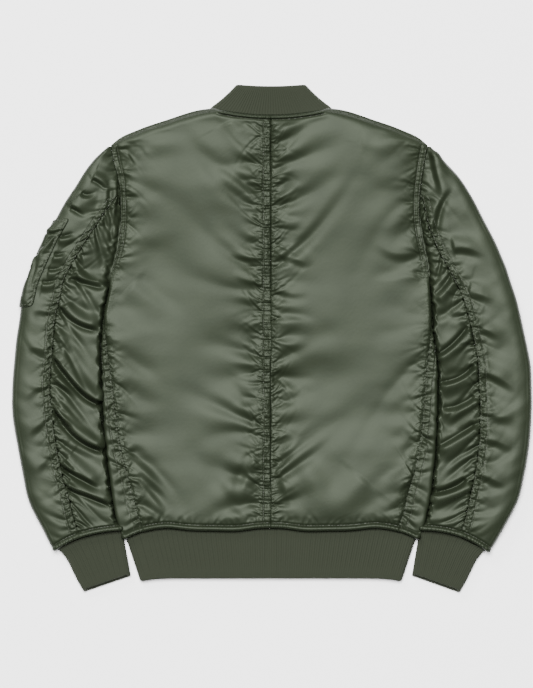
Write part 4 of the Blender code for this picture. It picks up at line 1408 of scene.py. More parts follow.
SLEEVE_CREASES = {
    SideName.LEFT: creases_of(
        (290, 194, 280, 190, 264, 179, 5.5, 3.6, -0.4, 0.5, 0.5),
        (308, 143, 295, 144, 282, 150, 4.6, 2.8, 0.4, 0.5, 0.5),
        (316, 118, 305, 117, 292, 123, 4.6, 2.8, 0.4, 0.5, 0.5),
        (324, 95, 312, 95, 298, 99, 4.6, 2.6, 0.4, 0.5, 0.5),
        (333, 77, 319, 77, 304, 83, 4.6, 2.6, 0.4, 0.5, 0.5),
        (280, 208, 266, 201, 246, 210, 6.0, 3.4, 0.4, 0.6, 0.5),
        (258, 235, 244, 227, 232, 214, 5.0, 2.6, -0.4, 0.6, 0.5),
        (225, 232, 227, 196, 234, 150, 4.5, 3.0, 0.4),
        (238, 218, 241, 188, 248, 156, 5.0, 2.6, 0.4),
        (289, 94, 268, 86, 238, 80, 6.2, 4.8, -0.4, 0.2, 0.35),
        (300, 50, 280, 28, 246, 18, 6.9, 5.1, -0.4, 0.2, 0.35),
        (313, 12, 302, -6, 292, -24, 6.9, 3.6, -0.3),
        (314, -20, 270, -76, 240, -87, 8.1, 7.5, -0.6, 0.2, 0.35),
        (314, -58, 298, -68, 266, -84, 7.5, 4.4, -0.4),
        (313, -94, 278, -140, 236, -158, 8.1, 7.5, -0.6, 0.2, 0.35),
        (302, -180, 286, -190, 242, -214, 7.5, 5.7, -0.5, 0.2, 0.35),
        (296, -212, 268, -222, 226, -239, 7.5, 5.7, -0.5, 0.2, 0.35),
        (318, 38, 336, 42, 358, 36, 9.0, 1.5, 0.4),
        (322, -18, 342, -12, 362, -16, 9.0, 1.8, 0.4),
        (322, -66, 344, -74, 364, -92, 9.5, 1.7, 0.4),
        (322, -118, 342, -128, 360, -146, 9.5, 1.9, 0.4),
        (314, -168, 332, -180, 348, -198, 9.0, 1.9, 0.4),
    ),
    SideName.RIGHT: creases_of(
        (232, 151, 242, 197, 264, 225, 7.5, 4.0, 0.5, 0.7, 0.2),
        (236, 272, 244, 232, 256, 195, 7.5, 3.9, 0.4),
        (262, 132, 288, 131, 316, 117, 9.5, 3.2, 0.4),
        (285, 70, 306, 64, 326, 56, 9.0, 2.8, 0.4),
        (297, 21, 316, 12, 338, -1, 9.0, 3.0, 0.4),
        (305, -47, 334, -58, 362, -80, 9.5, 3.2, 0.4),
        (306, -104, 330, -112, 358, -110, 9.5, 2.4, 0.4),
        (306, -140, 332, -150, 356, -158, 9.5, 2.6, 0.4),
        (302, -192, 324, -204, 346, -212, 9.0, 2.6, 0.4),
        (291, 14, 264, -16, 239, -31, 7.5, 6.0, 0.6, 0.2, 0.35),
        (299, -41, 276, -62, 239, -71, 7.5, 6.0, 0.6, 0.2, 0.35),
        (300, -88, 276, -104, 244, -110, 7.5, 4.4, 0.4, 0.2, 0.35),
        (300, -130, 272, -148, 240, -166, 7.5, 4.8, 0.5, 0.2, 0.35),
        (288, -208, 264, -224, 225, -231, 7.5, 5.6, 0.6, 0.2, 0.35),
        (270, 92, 256, 70, 238, 54, 7.5, 4.4, 0.4, 0.2, 0.35),
    ),
}


# Width, length and area of each sleeve panel's cut, in metres and square metres
SLEEVE_CUTS = {
    ("upper", SideName.LEFT): (0.190, 0.600, 0.082),
    ("upper", SideName.RIGHT): (0.205, 0.600, 0.088),
    ("under", SideName.LEFT): (0.160, 0.540, 0.064),
    ("under", SideName.RIGHT): (0.140, 0.540, 0.054),
}


@dataclass(frozen=True)
class SleeveShape:
    """Plan and loft of one sleeve, x outwards from the centre of the jacket."""

    body: BodyShape
    side_high: float = 12.0
    fold_reach: float = 24.0
    seam_depth: float = 2.2
    seam_reach: float = 2.4
    swell_rows: float = 0.45
    tuck_z: float = 5.0
    tuck_slope: float = 1.4
    tuck_reach: float = 3.0
    tuck_uneven: float = 0.45
    edge_least: float = 2.0
    tuck_start: float = 3.7
    tuck_widens: float = 1.5
    seam_leaves: float = 3.0
    under_start: float = 3.25
    armhole_reach: float = 20.0
    above_slit: float = 1.6

    @property
    def last_row(self) -> float:
        """The row at the cuff."""
        return len(self.rows) - 1.0

    @property
    def rows(self) -> tuple[tuple[float, ...], ...]:
        """This side's sections."""
        return SLEEVE_ROWS[self.body.side]

    def lines(self, t: Array) -> tuple[Array, Array, Array]:
        """Returns the inner, seam and outer points of the sections at these rows."""
        knots = np.arange(len(self.rows))
        inner_y, seam_out, seam_up, outer_out, outer_up = (
            smooth_through(knots, column, t) for column in zip(*self.rows)
        )
        leaves = np.clip((t - self.under_start + 0.02) / 0.12, 0.0, 1.0)
        inner_x = self.body.edge(inner_y) + PLACES.sleeve_clear
        inner = np.stack((inner_x, inner_y - hem_sag(inner_x, inner_y)), axis=-1)
        to_seam = np.stack((np.maximum(seam_out, 0.0) * leaves, seam_up * leaves), axis=-1)
        return inner, inner + to_seam, inner + np.stack((outer_out, outer_up), axis=-1)

    @property
    def arch_slope(self) -> float:
        """Slope at which the cuff seam's arch leaves its two chords where they meet."""
        inner, seam, outer = self.at_cuff
        return math.tan(0.5 * math.acos(float(unit(seam - inner) @ unit(outer - seam))))

    @property
    def at_cuff(self) -> tuple[Array, Array, Array]:
        """Inner, seam and outer point of the last section."""
        return tuple(line[0] for line in self.lines(np.array([self.last_row])))

    def stations(self, step: float, start: float) -> Array:
        """Returns rows of the table this far apart along the sleeve, from a starting row."""
        fine = np.linspace(start, self.last_row, 600)
        inner, _, outer = self.lines(fine)
        along = running(0.5 * (inner + outer))
        count = round(along[-1] / step)
        return np.interp(np.linspace(0.0, along[-1], count + 1), along, fine)

    def loft(self, t: Array, place: Array) -> Array:
        """Height of the sleeve's upper half with no folds.

        Args:
            t: The sections' rows, one for each row of places.
            place: Points of the sections, by row and column.

        Returns:
            Heights by row and column.
        """
        inner, seam, outer = (line[:, None] for line in self.lines(t))
        width = norm(outer - inner, axis=-1)
        to_inner, to_seam, to_outer = (norm(place - e, axis=-1) for e in (inner, seam, outer))
        rows = t[:, None]
        to_cuff = self.last_row - rows
        folded = self.body.folded(inner[..., 1])
        swell = 1.0 - fading(to_cuff + 0.05, self.swell_rows)
        full = LAYERS.seam_top + (LAYERS.sleeve_top - LAYERS.seam_top) * swell
        arch = roll(to_outer, np.minimum(self.fold_reach, 0.5 * width))
        arch = self.side_high + (full - self.side_high) * arch
        from_seam = 1.0 - fading(to_inner, self.armhole_reach)
        sewn = LAYERS.sleeve_seam + (arch - LAYERS.sleeve_seam) * from_seam
        height = folded * arch + (1.0 - folded) * sewn
        out = np.einsum("...k,...k", place - inner, (outer - inner) / width[..., None])
        ragged = np.sin(3.1 * rows) * np.sin(7.3 * rows + 1.0) + 0.6 * np.sin(17.0 * rows)
        ragged = 1.0 + self.tuck_uneven * ragged + self.tuck_widens * (1.0 - folded)
        tucked = ease((rows - self.tuck_start) / 1.5) * ease(to_cuff / 1.2)
        tucked = tucked * np.where(out > 0.0, bump(out / (self.tuck_reach * ragged), 1.0), 1.0)
        height += tucked * (self.tuck_z + self.tuck_slope * out - height)
        near = np.clip(np.minimum(to_cuff, rows - self.seam_leaves), 0.0, 1.0)
        height -= self.seam_depth * near * fading(to_seam, self.seam_reach)
        return np.maximum(height, self.least(to_inner, folded))

    def least(self, to_inner: Array, folded: Array) -> Array:
        """Returns the lowest that the upper wall may lie, this far from the inner edge."""
        high = LAYERS.upper_floor + self.above_slit
        at_edge = folded * (1.0 - ease((to_inner - 14.0) / 6.0))
        return high + (self.edge_least - high) * at_edge


@dataclass
class SleevePanel:
    """One padded panel of a sleeve, folded on itself, gathered along the back seam."""

    shape: SleeveShape
    upper: bool
    step: float = 1.15
    radius: float = 7.0
    arc_points: int = 14
    cuff_edge: RolledEdge = RolledEdge()
    corner: float = 4.0
    corner_rows: float = 0.3
    arch_rows: float = 1.6
    band: float = 11.5
    slip: float = 4.2
    band_groove: float = 0.7
    under_fold_z: float = 2.4
    under_radius: float = 3.5
    # Pinches from the back seam: the upper sleeve's, of which the first start below its cap, and
    # the under sleeve's, with those from its inner fold
    sewn_rows: tuple[Puckers, ...] = (
        Puckers(4.4, 0.75, 8.0, 0.75, 0),
        Puckers(8.5, 0.8, 12.0, 1.4, 6),
    )
    upper_row: Puckers = Puckers(17.0, 0.8, 26.0, 2.4, 1, 0.2, lean=0.2)
    under_rows: tuple[Puckers, ...] = (
        Puckers(8.5, 0.8, 15.0, 1.5, 7),
        Puckers(19.0, 1.7, 50.0, 3.0, 2, 0.25, lean=0.55),
        Puckers(4.8, 0.6, 6.0, 0.9, 3),
    )
    fold_row: Puckers = Puckers(15.0, 1.9, 18.0, 2.4, 8, 0.3)
    upper_swells: Swells = ((0.5, 40.0, 26.0, math.inf), (0.3, 20.0, 12.0, math.inf))
    under_swells: Swells = ((1.2, 40.0, 26.0, math.inf), (0.3, 20.0, 12.0, math.inf))
    relaxing: Relaxing = Relaxing(coarse_rounds=240)

    @property
    def body(self) -> BodyShape:
        """The body beside the sleeve."""
        return self.shape.body

    @property
    def kind(self) -> str:
        """Which panel this is."""
        return "upper" if self.upper else "under"

    def ends(self, t: Array) -> tuple[Array, Array, Array]:
        """Returns the seam edge, the folded edge and the fold's radius at these rows."""
        inner, seam, outer = self.shape.lines(t)
        away = outer - inner
        away /= norm(away, axis=-1, keepdims=True)
        folded = self.body.folded(inner[:, 1])
        half = 0.5 * PLACES.seam_gap * away
        if self.upper:
            cut = self.corner * (1.0 - roll(self.shape.last_row - t, self.corner_rows))
            start, end = seam + half, outer - away * cut[:, None]
            return start, end, np.minimum(self.radius, 0.4 * norm(end - start, axis=-1))
        start, end = seam - half, inner - self.slip * folded[:, None] * away
        radius = np.minimum(self.under_radius, 0.4 * norm(end - start, axis=-1))
        return start, end, radius * (0.05 + 0.95 * folded)

    def section(self, u: Array, t: Array) -> Array:
        """Returns points from the back seam over the top and round the fold to the surface."""
        start, end, radius = self.ends(t)
        length = norm(end - start, axis=-1)
        way = (end - start) / length[:, None]
        part = np.clip(u / self.split, 0.0, 1.0)[None, :]
        turn = (0.5 - np.clip((u - self.split) / (1.0 - self.split), 0.0, 1.0)) * math.pi
        on_top = (u <= self.split)[None, :]
        flat = part * (length - radius)[:, None]
        bend = (length - radius)[:, None] + radius[:, None] * np.cos(turn)[None, :]
        reach = np.where(on_top, flat, bend)
        place = start[:, None] + way[:, None] * reach[..., None] + self.arch(t, way, length, reach)
        top = self.shape.loft(t, place)
        edge = (start + way * (length - radius)[:, None])[:, None]
        brim = self.shape.loft(t, edge)
        middle = LAYERS.fold_middle if self.upper else self.under_fold_z
        above = middle + (brim - middle) * np.sin(turn)[None, :]
        below = middle * (1.0 + np.sin(turn))[None, :]
        z = np.where(on_top, top, np.where((turn >= 0.0)[None, :], above, below))
        return np.concatenate((place, z[..., None]), axis=-1)

    def arch(self, t: Array, way: Array, length: Array, reach: Array) -> Array:
        """Returns the move that bends the last rows into the cuff seam's arch.

        Args:
            t: The sections' rows.
            way: Directions of the sections from the back seam.
            length: Lengths of the sections.
            reach: Places along each section.

        Returns:
            The move in plan of each place.
        """
        part = np.clip(reach / length[:, None], 0.0, 1.0)
        to_cuff = self.shape.last_row - t
        rise = self.shape.arch_slope * length * (1.0 - ease(to_cuff / self.arch_rows))
        up = np.stack((-way[:, 1], way[:, 0]), axis=-1) * (1.0 if self.upper else -1.0)
        return up[:, None] * (rise[:, None] * part * (1.0 - part))[..., None]

    def columns_count(self) -> int:
        """Returns the number of steps from the seam round the fold."""
        return 46 + self.arc_points

    @property
    def split(self) -> float:
        """Place across the panel at which its fold starts, from 0 to 1."""
        return 1.0 - self.arc_points / self.columns_count()

    def cloth(self, u: Array, t: Array, stiffness: float) -> Cloth:
        """Returns the panel's cloth before it relaxes."""
        form = self.section(u, t)
        seed = SEED + 100 + 20 * self.upper + 7 * (not self.body.left)
        to_seam, down = distance_along(form, 1), distance_along(form, 0)
        to_cuff = down[-1:] - down
        start = ease((down - down[:1]) / 8.0) * ease((to_cuff - self.cuff_edge.depth) / 10.0)
        sewn = ease((t[:, None] - self.shape.seam_leaves) / 1.5)
        creases = SLEEVE_CREASES[self.body.side]
        lift = crease_relief(creases, form[..., 0], form[..., 1]) * ease(to_seam / 4.0)
        band = bump(to_seam - self.band, 1.2) * sewn
        if self.upper:
            lift += sum(row.relief(down, to_seam, seed) * sewn for row in self.sewn_rows)
            lift += self.upper_row.relief(down, to_seam, seed) - self.band_groove * band
        else:
            lift += sum(row.relief(down, to_seam, seed) for row in self.under_rows)
            brim = to_seam[:, np.searchsorted(u, self.split)][:, None]
            lift += self.fold_row.relief(down, np.abs(brim - to_seam), seed)
        rolled = self.cuff_edge.height(to_cuff, to_seam) * ease((form[..., 2] - 4.0) / 6.0)
        high = 0.3 * ease(form[..., 2] / 5.0) + 0.7 * ease((form[..., 2] - 8.0) / 6.0)
        out = normals_of(form)
        form = form + out * (lift * start * high)[..., None] + sewn_edge(out, rolled * high)
        free = loose(to_seam)
        free[to_cuff < self.cuff_edge.depth] = 0.0
        along = (0.04 * fading(to_seam, 20.0) + 0.008) * start * high
        across = (0.01 + 0.03 * fading(to_cuff, 20.0)) * start * high
        swells = self.upper_swells if self.upper else self.under_swells
        noise = uneven(swells, seed + 5, to_seam, down, to_seam)
        noise *= start * high * (1.0 - fading(to_seam, 5.0))
        hold = 0.008 + 0.1 * band * self.upper
        inner = self.shape.lines(t)[0][:, None]
        to_inner = norm(form[..., :2] - inner, axis=-1)
        least = self.shape.least(to_inner, self.body.folded(inner[..., 1]))
        least = np.where(u <= self.split, least, 0.0)
        target = form + out * noise[..., None]
        return Cloth(form, free, along, across, hold, target, least, stiffness, keep=0.01)

    def make(self, wardrobe: Wardrobe) -> tuple[Array, Array, Array]:
        """Builds the panel.

        Args:
            wardrobe: The materials.

        Returns:
            Its visible surface in place, by row and column, and its places along and across.
        """
        t = self.shape.stations(self.step, 0.0 if self.upper else self.shape.under_start)
        u = np.linspace(0.0, 1.0, self.columns_count() + 1)
        surface = self.relaxing.run(self.cloth, u, t)
        start, end, _ = self.ends(t)
        length = norm(end - start, axis=-1)
        way = (end - start) / length[:, None]
        if self.upper:
            web = np.minimum(self.radius, 0.6 * length)
        else:
            folded = self.body.folded(self.shape.lines(t)[0][:, 1])
            web = np.minimum(4.0 + 20.0 * folded, 0.5 * length)
        inside = end - way * web[:, None]
        inside = inside + self.arch(t, way, length, (length - web)[:, None])[:, 0]
        wall, floor = LAYERS.lower_wall, LAYERS.upper_floor
        lower = ((start, 0.0), (start, wall), (inside, wall), (inside, floor), (start, floor))
        lines = [level(place[:, 0], place[:, 1], z)[:, None] for place, z in lower]
        rings = np.concatenate((surface, *lines), axis=1)
        rings[..., 0] *= self.body.sign
        surface[..., 0] *= self.body.sign
        gather = fading(np.maximum(distance_along(surface, 1) - 8.0 * self.upper, 0.0), 5.0)
        gather *= ease((t - self.shape.seam_leaves) / 0.5)[:, None]
        name = f"sleeve_{self.kind}_{self.body.side.value}"
        piece = tube_piece("shell_" + name, rings, wardrobe.shell, "shell", name, gather)
        width, length, area = SLEEVE_CUTS[self.kind, self.body.side]
        return surface, t, u


# ---- sleeve pocket ----


@dataclass
class SleevePocket:
    """Patch pocket on the left upper sleeve, sewn down round its edges and loose between."""

    sleeve: "SleevePanel"
    first_row: float = 3.9
    last_row: float = 8.4
    first_part: float = 0.78
    lift: float = 0.4
    wall: float = 2.0
    puff: float = 3.2
    corner: float = 7.0
    hem_groove: float = 0.9
    band_low: float = 0.17
    band_groove: float = 2.4
    band_swell: float = 1.8
    flat_from: float = 0.6
    flatter: float = 0.8
    row: Puckers = Puckers(6.0, 0.9, 7.0, 1.2, 0)
    creases: tuple[Crease, ...] = creases_of(
        (22, 12, 30, 60, 24, 118, 4.5, 3.2, 0.4, 0.6, 0.5),
        (36, 20, 20, 70, 12, 130, 4.0, 2.8, -0.4, 0.6, 0.5),
        (6, 30, 18, 60, 34, 96, 4.0, 2.8, 0.4, 0.6, 0.5),
        (30, 84, 34, 110, 28, 142, 4.5, 3.0, 0.4, 0.6, 0.5),
    )

    def make(self, surface: Array, t: Array, wardrobe: Wardrobe) -> tuple[Array, Array]:
        """Builds the pocket.

        Args:
            surface: The sleeve panel's surface in place.
            t: The sleeve table's row of each of its rows.
            wardrobe: The materials.

        Returns:
            The pocket's surface by row and column, and its distance to the nearest edge.
        """
        count, arc = self.sleeve.columns_count(), self.sleeve.arc_points
        low, high = int(self.first_part * (count - arc)), count - arc // 2
        rows = np.flatnonzero((t >= self.first_row) & (t <= self.last_row))
        block = (slice(rows[0], rows[-1] + 1), slice(low, high + 1))
        base, out = surface[block], normals_of(surface)[block]
        for _ in range(6):
            out[1:-1, 1:-1] = 0.25 * (out[2:, 1:-1] + out[:-2, 1:-1] + out[1:-1, 2:] + out[1:-1, :-2])
            out /= norm(out, axis=-1, keepdims=True)
        across, along = distance_along(base, 1), distance_along(base, 0)
        from_end = np.minimum(along, along[-1:] - along).mean(axis=1)
        for i, inset in enumerate(corner_cut(from_end, self.corner)):
            wide = across[i, -1]
            at = inset + (wide - inset) * across[i] / wide
            for grid in (base, out):
                grid[i] = np.stack([np.interp(at, across[i], line) for line in grid[i].T], axis=-1)
        across, along = distance_along(base, 1), distance_along(base, 0)
        to_side = np.minimum(across, across[:, -1:] - across)
        to_edge = np.minimum(to_side, np.minimum(along, along[-1:] - along))
        rise = self.puff * ease(to_edge / 14.0) - self.hem_groove * bump(to_edge - 3.0, 1.1)
        rise += ease(to_edge / 9.0) * crease_relief(self.creases, across, along)
        past_band = along - self.band_low * along[-1:].mean()
        in_side = ease(to_side / 3.0)
        rise -= self.band_groove * bump(past_band, 1.6) * in_side
        rise += self.band_swell * bump(past_band + 5.0, 3.2) * in_side
        shown = 1.0 - self.flatter * ease((across / across[:, -1:] - self.flat_from) / 0.3)
        pinches = self.row.relief(along, to_side, SEED + 301)
        rise = np.maximum((rise + ease(to_edge / 2.0) * pinches) * shown, 0.0)
        top = base + out * (self.lift + self.wall * ease(to_edge / 1.5 + 0.35) + rise)[..., None]
        under = base[:, ::-1] + self.lift * out[:, ::-1]
        rings = np.concatenate((top, under), axis=1)
        piece = tube_piece("shell_sleeve_pocket_left", rings, wardrobe.shell, "shell",
                           "sleeve_pocket_left", fading(to_edge, 6.0))
        return top, to_edge


# ---- ribbed knit ----


QUARTER = 0.5 * math.pi


@dataclass(frozen=True)
class KnitBand:
    """A band of knit with raised ribs on its outer face and a plain inner one."""

    wall: float = 5.0
    turn_radius: float = 3.2
    rib: float = 3.4
    depth: float = 0.85
    step: float = 0.55
    rows: int = 9
    bevel: float = 1.6
    corner: float = 4.0

    @property
    def inset(self) -> float:
        """Distance of the band's middle from its folded side."""
        return self.turn_radius + 0.5 * self.wall

    @property
    def turn_length(self) -> float:
        """Length of a fold."""
        return math.pi * self.inset

    def height(self, turn: Array) -> Array:
        """Returns the height of the wall's middle on a layer or a fold."""
        return 0.5 * self.wall + self.turn_radius * (1.0 + np.sin(turn))

    def rings(
        self, base: Array, edge: Array, normal: Array, to_side: Array, whole: bool = False
    ) -> Array:
        """Sections of the band.

        Args:
            base: Middle of the wall at the seam, for each section.
            edge: Middle of the wall at the folded end of the knit.
            normal: Directions out of the band.
            to_side: Distance of each section's end from the band's folded side.
            whole: Whether the band closes on itself.

        Returns:
            Points of each section.
        """
        half = 0.5 * self.wall
        run = edge - base
        run /= norm(run, axis=1, keepdims=True)
        edge = edge - run * corner_cut(to_side, self.corner)[:, None]
        shoulder = edge - self.bevel * run
        middle = 0.5 * (base + edge) + half * normal
        along = running(middle)
        total = along[-1] + (norm(middle[0] - middle[-1]) if whole else 0.0)
        count = round(total / self.rib)
        ridge = np.abs(np.sin(math.pi * along / total * count)) ** 0.8
        points = []
        for part in np.linspace(0.0, 1.0, self.rows):
            fade = 1.0 - 0.5 * part**6
            out = half - self.depth * (1.0 - ridge) * fade
            points.append(base + (shoulder - base) * part + normal * out[:, None])
        for angle in (60.0, 30.0, 0.0, -30.0, -60.0):
            turn = math.radians(angle)
            tip = shoulder + self.bevel * math.cos(turn) * run
            points.append(tip + half * math.sin(turn) * normal)
        points += [place - half * normal for place in (shoulder, 0.5 * (base + shoulder), base)]
        return np.stack(points, axis=1)

    def path(self, parts: Sequence[tuple[float, float, float, float, float]]) -> tuple[Array, Array]:
        """Places along a band.

        Args:
            parts: Stretches as place and turn at the start, the same at the end, and length.

        Returns:
            The place and the turn of each section.
        """
        places, turns = [], []
        for start, turn, end, end_turn, length in parts:
            count = max(2, round(length / self.step))
            t = np.arange(count) / count
            places.append(start + (end - start) * t)
            turns.append(turn + (end_turn - turn) * t)
        places.append([parts[-1][2]])
        turns.append([parts[-1][3]])
        return np.concatenate(places), np.concatenate(turns)


@dataclass(frozen=True)
class HemRib:
    """Band round the hem, open at the centre front."""

    knit: KnitBand = KnitBand()

    def point_y(self, x: Array, at_edge: bool) -> Array:
        """Returns the height along the jacket of its seam or its folded end."""
        if at_edge:
            wide = np.abs(x) * PLACES.hem_rib_half / PLACES.hem_edge_half
            return PLACES.hem_edge - hem_sag(wide, np.full_like(x, PLACES.hem_edge))
        return PLACES.hem_seam - PLACES.seam_gap - hem_sag(x, np.full_like(x, PLACES.hem_seam))

    def make(self, wardrobe: Wardrobe) -> None:
        """Builds the band."""
        knit = self.knit
        wide = PLACES.hem_rib_half - knit.inset
        start = PLACES.zip_half / wide
        part, turn = knit.path((
            (-start, -QUARTER, -1.0, -QUARTER, wide),
            (-1.0, -QUARTER, -1.0, QUARTER, knit.turn_length),
            (-1.0, QUARTER, 1.0, QUARTER, 2.0 * wide),
            (1.0, QUARTER, 1.0, -QUARTER, knit.turn_length),
            (1.0, -QUARTER, start, -QUARTER, wide),
        ))
        away = np.cos(turn) * np.sign(part)
        base_x = part * wide + knit.turn_radius * away
        edge_x = part * (PLACES.hem_edge_half - knit.inset) + knit.turn_radius * away
        edge_x = np.where(np.abs(base_x) < 2.0 * PLACES.zip_half, base_x, edge_x)
        z = knit.height(turn)
        base = level(base_x, self.point_y(base_x, False), z)
        edge = level(edge_x, self.point_y(edge_x, True), z)
        to_side = PLACES.hem_edge_half - np.abs(edge[:, 0])
        rings = knit.rings(base, edge, level(away, 0.0, np.sin(turn)), to_side)
        seam, y = self.point_y(rings[..., 0], False), rings[..., 1]
        rings[..., 1] = np.where(np.abs(y - seam) < 1.5, np.minimum(y, seam), y)
        piece = tube_piece("knit_hem_rib", rings, wardrobe.rib, "rib_knit", "hem_rib")


@dataclass(frozen=True)
class CollarRib:
    """Band from one end of the front neckline round the back to the other."""

    knit: KnitBand = KnitBand(rib=3.3)
    flare: float = 8.0
    # The flare grows from this part of the neck's half width outwards
    flare_from: float = 0.6

    def front(self, part: Array) -> tuple[Array, Array]:
        """Returns the seam and the top edge of the front, from the side of the neck to the middle."""
        turn, lines = QUARTER * part, []
        top = PLACES.neck_front + PLACES.collar_front_depth
        for half, low, high in (
            (PLACES.neck_half, PLACES.neck_front, PLACES.neck_side),
            (PLACES.collar_top_half, top, PLACES.collar_top),
        ):
            x = PLACES.zip_half + (half - self.knit.inset - PLACES.zip_half) * np.cos(turn)
            y = low + (high - low) * (1.0 - np.sin(turn))
            lines.append(level(x, y, 0.5 * self.knit.wall))
        return lines[0], lines[1]

    def back(self, part: Array, turn: Array) -> tuple[Array, Array, Array]:
        """Returns the seam, the top edge and the way out of the back of the collar."""
        knit = self.knit
        away = np.cos(turn) * np.sign(part)
        base_x = part * (PLACES.neck_half - knit.inset) + knit.turn_radius * away
        edge_x = part * (PLACES.collar_top_half - knit.inset) + knit.turn_radius * away
        rise = PLACES.collar_dip * ((edge_x / PLACES.collar_top_half) ** 2 - 0.2)
        z = knit.height(turn)
        base = level(base_x, neck_y(base_x) + PLACES.seam_gap, z)
        edge = level(edge_x, PLACES.collar_top + rise, z)
        return base, edge, level(away, 0.0, np.sin(turn))

    def make(self, wardrobe: Wardrobe) -> None:
        """Builds the band."""
        knit = self.knit
        part = np.linspace(1.0, 0.06, 180)
        base, edge = self.front(part)
        flip = np.array((-1.0, 1.0, 1.0))
        down = np.broadcast_to(np.array((0.0, 0.0, -1.0)), base.shape)
        wide = PLACES.neck_half + PLACES.collar_top_half - 2.0 * knit.inset
        place, turn = knit.path((
            (-1.0, -QUARTER + 0.1, -1.0, QUARTER, knit.turn_length),
            (-1.0, QUARTER, 1.0, QUARTER, wide),
            (1.0, QUARTER, 1.0, -QUARTER + 0.1, knit.turn_length),
        ))
        back_base, back_edge, back_out = self.back(place, turn)
        bases = np.concatenate((base * flip, back_base, base[::-1]))
        edges = np.concatenate((edge * flip, back_edge, edge[::-1]))
        to_side = PLACES.collar_top_half - np.abs(edges[:, 0])
        to_side[: len(base)] = to_side[-len(base) :] = knit.corner
        rings = knit.rings(bases, edges, np.concatenate((down, back_out, down)), to_side)
        run = norm(edges - bases, axis=1)[:, None]
        up = np.clip(norm(rings - bases[:, None], axis=-1) / run, 0.0, 1.0)
        out = np.abs(bases[:, :1]) / PLACES.neck_half - self.flare_from
        at_side = np.clip(out / (1.0 - self.flare_from), 0.0, 1.0) ** 2
        rings[..., 0] += np.sign(bases[:, :1]) * self.flare * at_side * (1.0 - up) ** 3
        piece = tube_piece("knit_collar_rib", rings, wardrobe.rib, "rib_knit", "collar_rib")


# Corners of each cuff's mouth: inner x and y, outer x and y, x outwards
MOUTHS = {
    SideName.LEFT: (203.3, -344.5, 271.1, -367.7),
    SideName.RIGHT: (204.3, -344.2, 273.0, -368.6),
}


@dataclass(frozen=True)
class CuffRib:
    """Closed band at the end of a sleeve."""

    shape: SleeveShape
    knit: KnitBand = KnitBand(rib=3.1)
    narrower: float = 5.0
    clear: float = -2.2
    gap: float = 0.05
    short: float = 3.5
    flare: float = 4.5
    # Brings the highest value of d (1 - d)^3 to 1
    flare_peak: float = 9.5

    def make(self, wardrobe: Wardrobe) -> None:
        """Builds the band."""
        knit = self.knit
        inner, seam, outer = self.shape.at_cuff
        along = unit(outer - inner)
        shift = self.gap * np.array((along[1], -along[0]))
        first_way, last_way = unit(seam - inner), unit(outer - seam)
        inner, seam = inner + self.clear * first_way + shift, seam + shift
        outer = outer - self.narrower * last_way + shift
        first, second = norm(seam - inner), norm(outer - seam)
        wide = first + second - 2.0 * knit.inset
        part, turn = knit.path((
            (0.0, QUARTER, 1.0, QUARTER, wide),
            (1.0, QUARTER, 1.0, -QUARTER, knit.turn_length),
            (1.0, -QUARTER, 0.0, -QUARTER, wide),
            (0.0, -QUARTER, 0.0, QUARTER, knit.turn_length),
        ))
        part, turn = part[:-1], turn[:-1]
        out = np.cos(turn) * np.where(part > 0.5, 1.0, -1.0)
        place = knit.inset + part * wide + knit.turn_radius * out
        past = place - first
        way = np.where(past[:, None] < 0.0, first_way, last_way)
        base = np.where(past[:, None] < 0.0, inner + way * place[:, None], seam + way * past[:, None])
        chord = np.where(past < 0.0, first, second + self.narrower)
        on_chord = np.clip(np.abs(past) / chord, 0.0, 1.0)
        arch = self.shape.arch_slope * chord * on_chord * (1.0 - on_chord)
        base = base + np.stack((-way[:, 1], way[:, 0]), axis=-1) * arch[:, None]
        mouth = np.array(MOUTHS[self.shape.body.side])
        width = float(norm(mouth[2:] - mouth[:2]))
        reach = knit.inset + part * (width - 2.0 * knit.inset) + knit.turn_radius * out
        edge = mouth[:2] + (mouth[2:] - mouth[:2]) / width * reach[:, None]
        back = self.short * unit(0.5 * (inner + outer) - 0.5 * (mouth[:2] + mouth[2:]))
        edge = edge + back * np.maximum(np.sin(turn), 0.0)[:, None]
        z = knit.height(turn)[:, None]
        normal = np.concatenate((way * out[:, None], np.sin(turn)[:, None]), axis=1)
        to_side = np.minimum(reach, width - reach)
        rings = knit.rings(np.hstack((base, z)), np.hstack((edge, z)), normal, to_side, whole=True)
        run = norm(edge - base, axis=1)[:, None]
        down = np.clip(norm(rings[..., :2] - base[:, None], axis=-1) / run, 0.0, 1.0)
        drawn = self.flare * self.flare_peak * down * (1.0 - down) ** 3
        rings[..., :2] -= last_way * (drawn * (reach / width)[:, None] ** 3)[..., None]
        rings[..., 0] *= self.shape.body.sign
        name = "cuff_rib_" + self.shape.body.side.value
        bm = shaped_grid(name, np.concatenate((rings, rings[:1])), closed=True)
        piece = finish_piece("knit_" + name, bm, wardrobe.rib, "rib_knit", name)


# ---- sewing ----


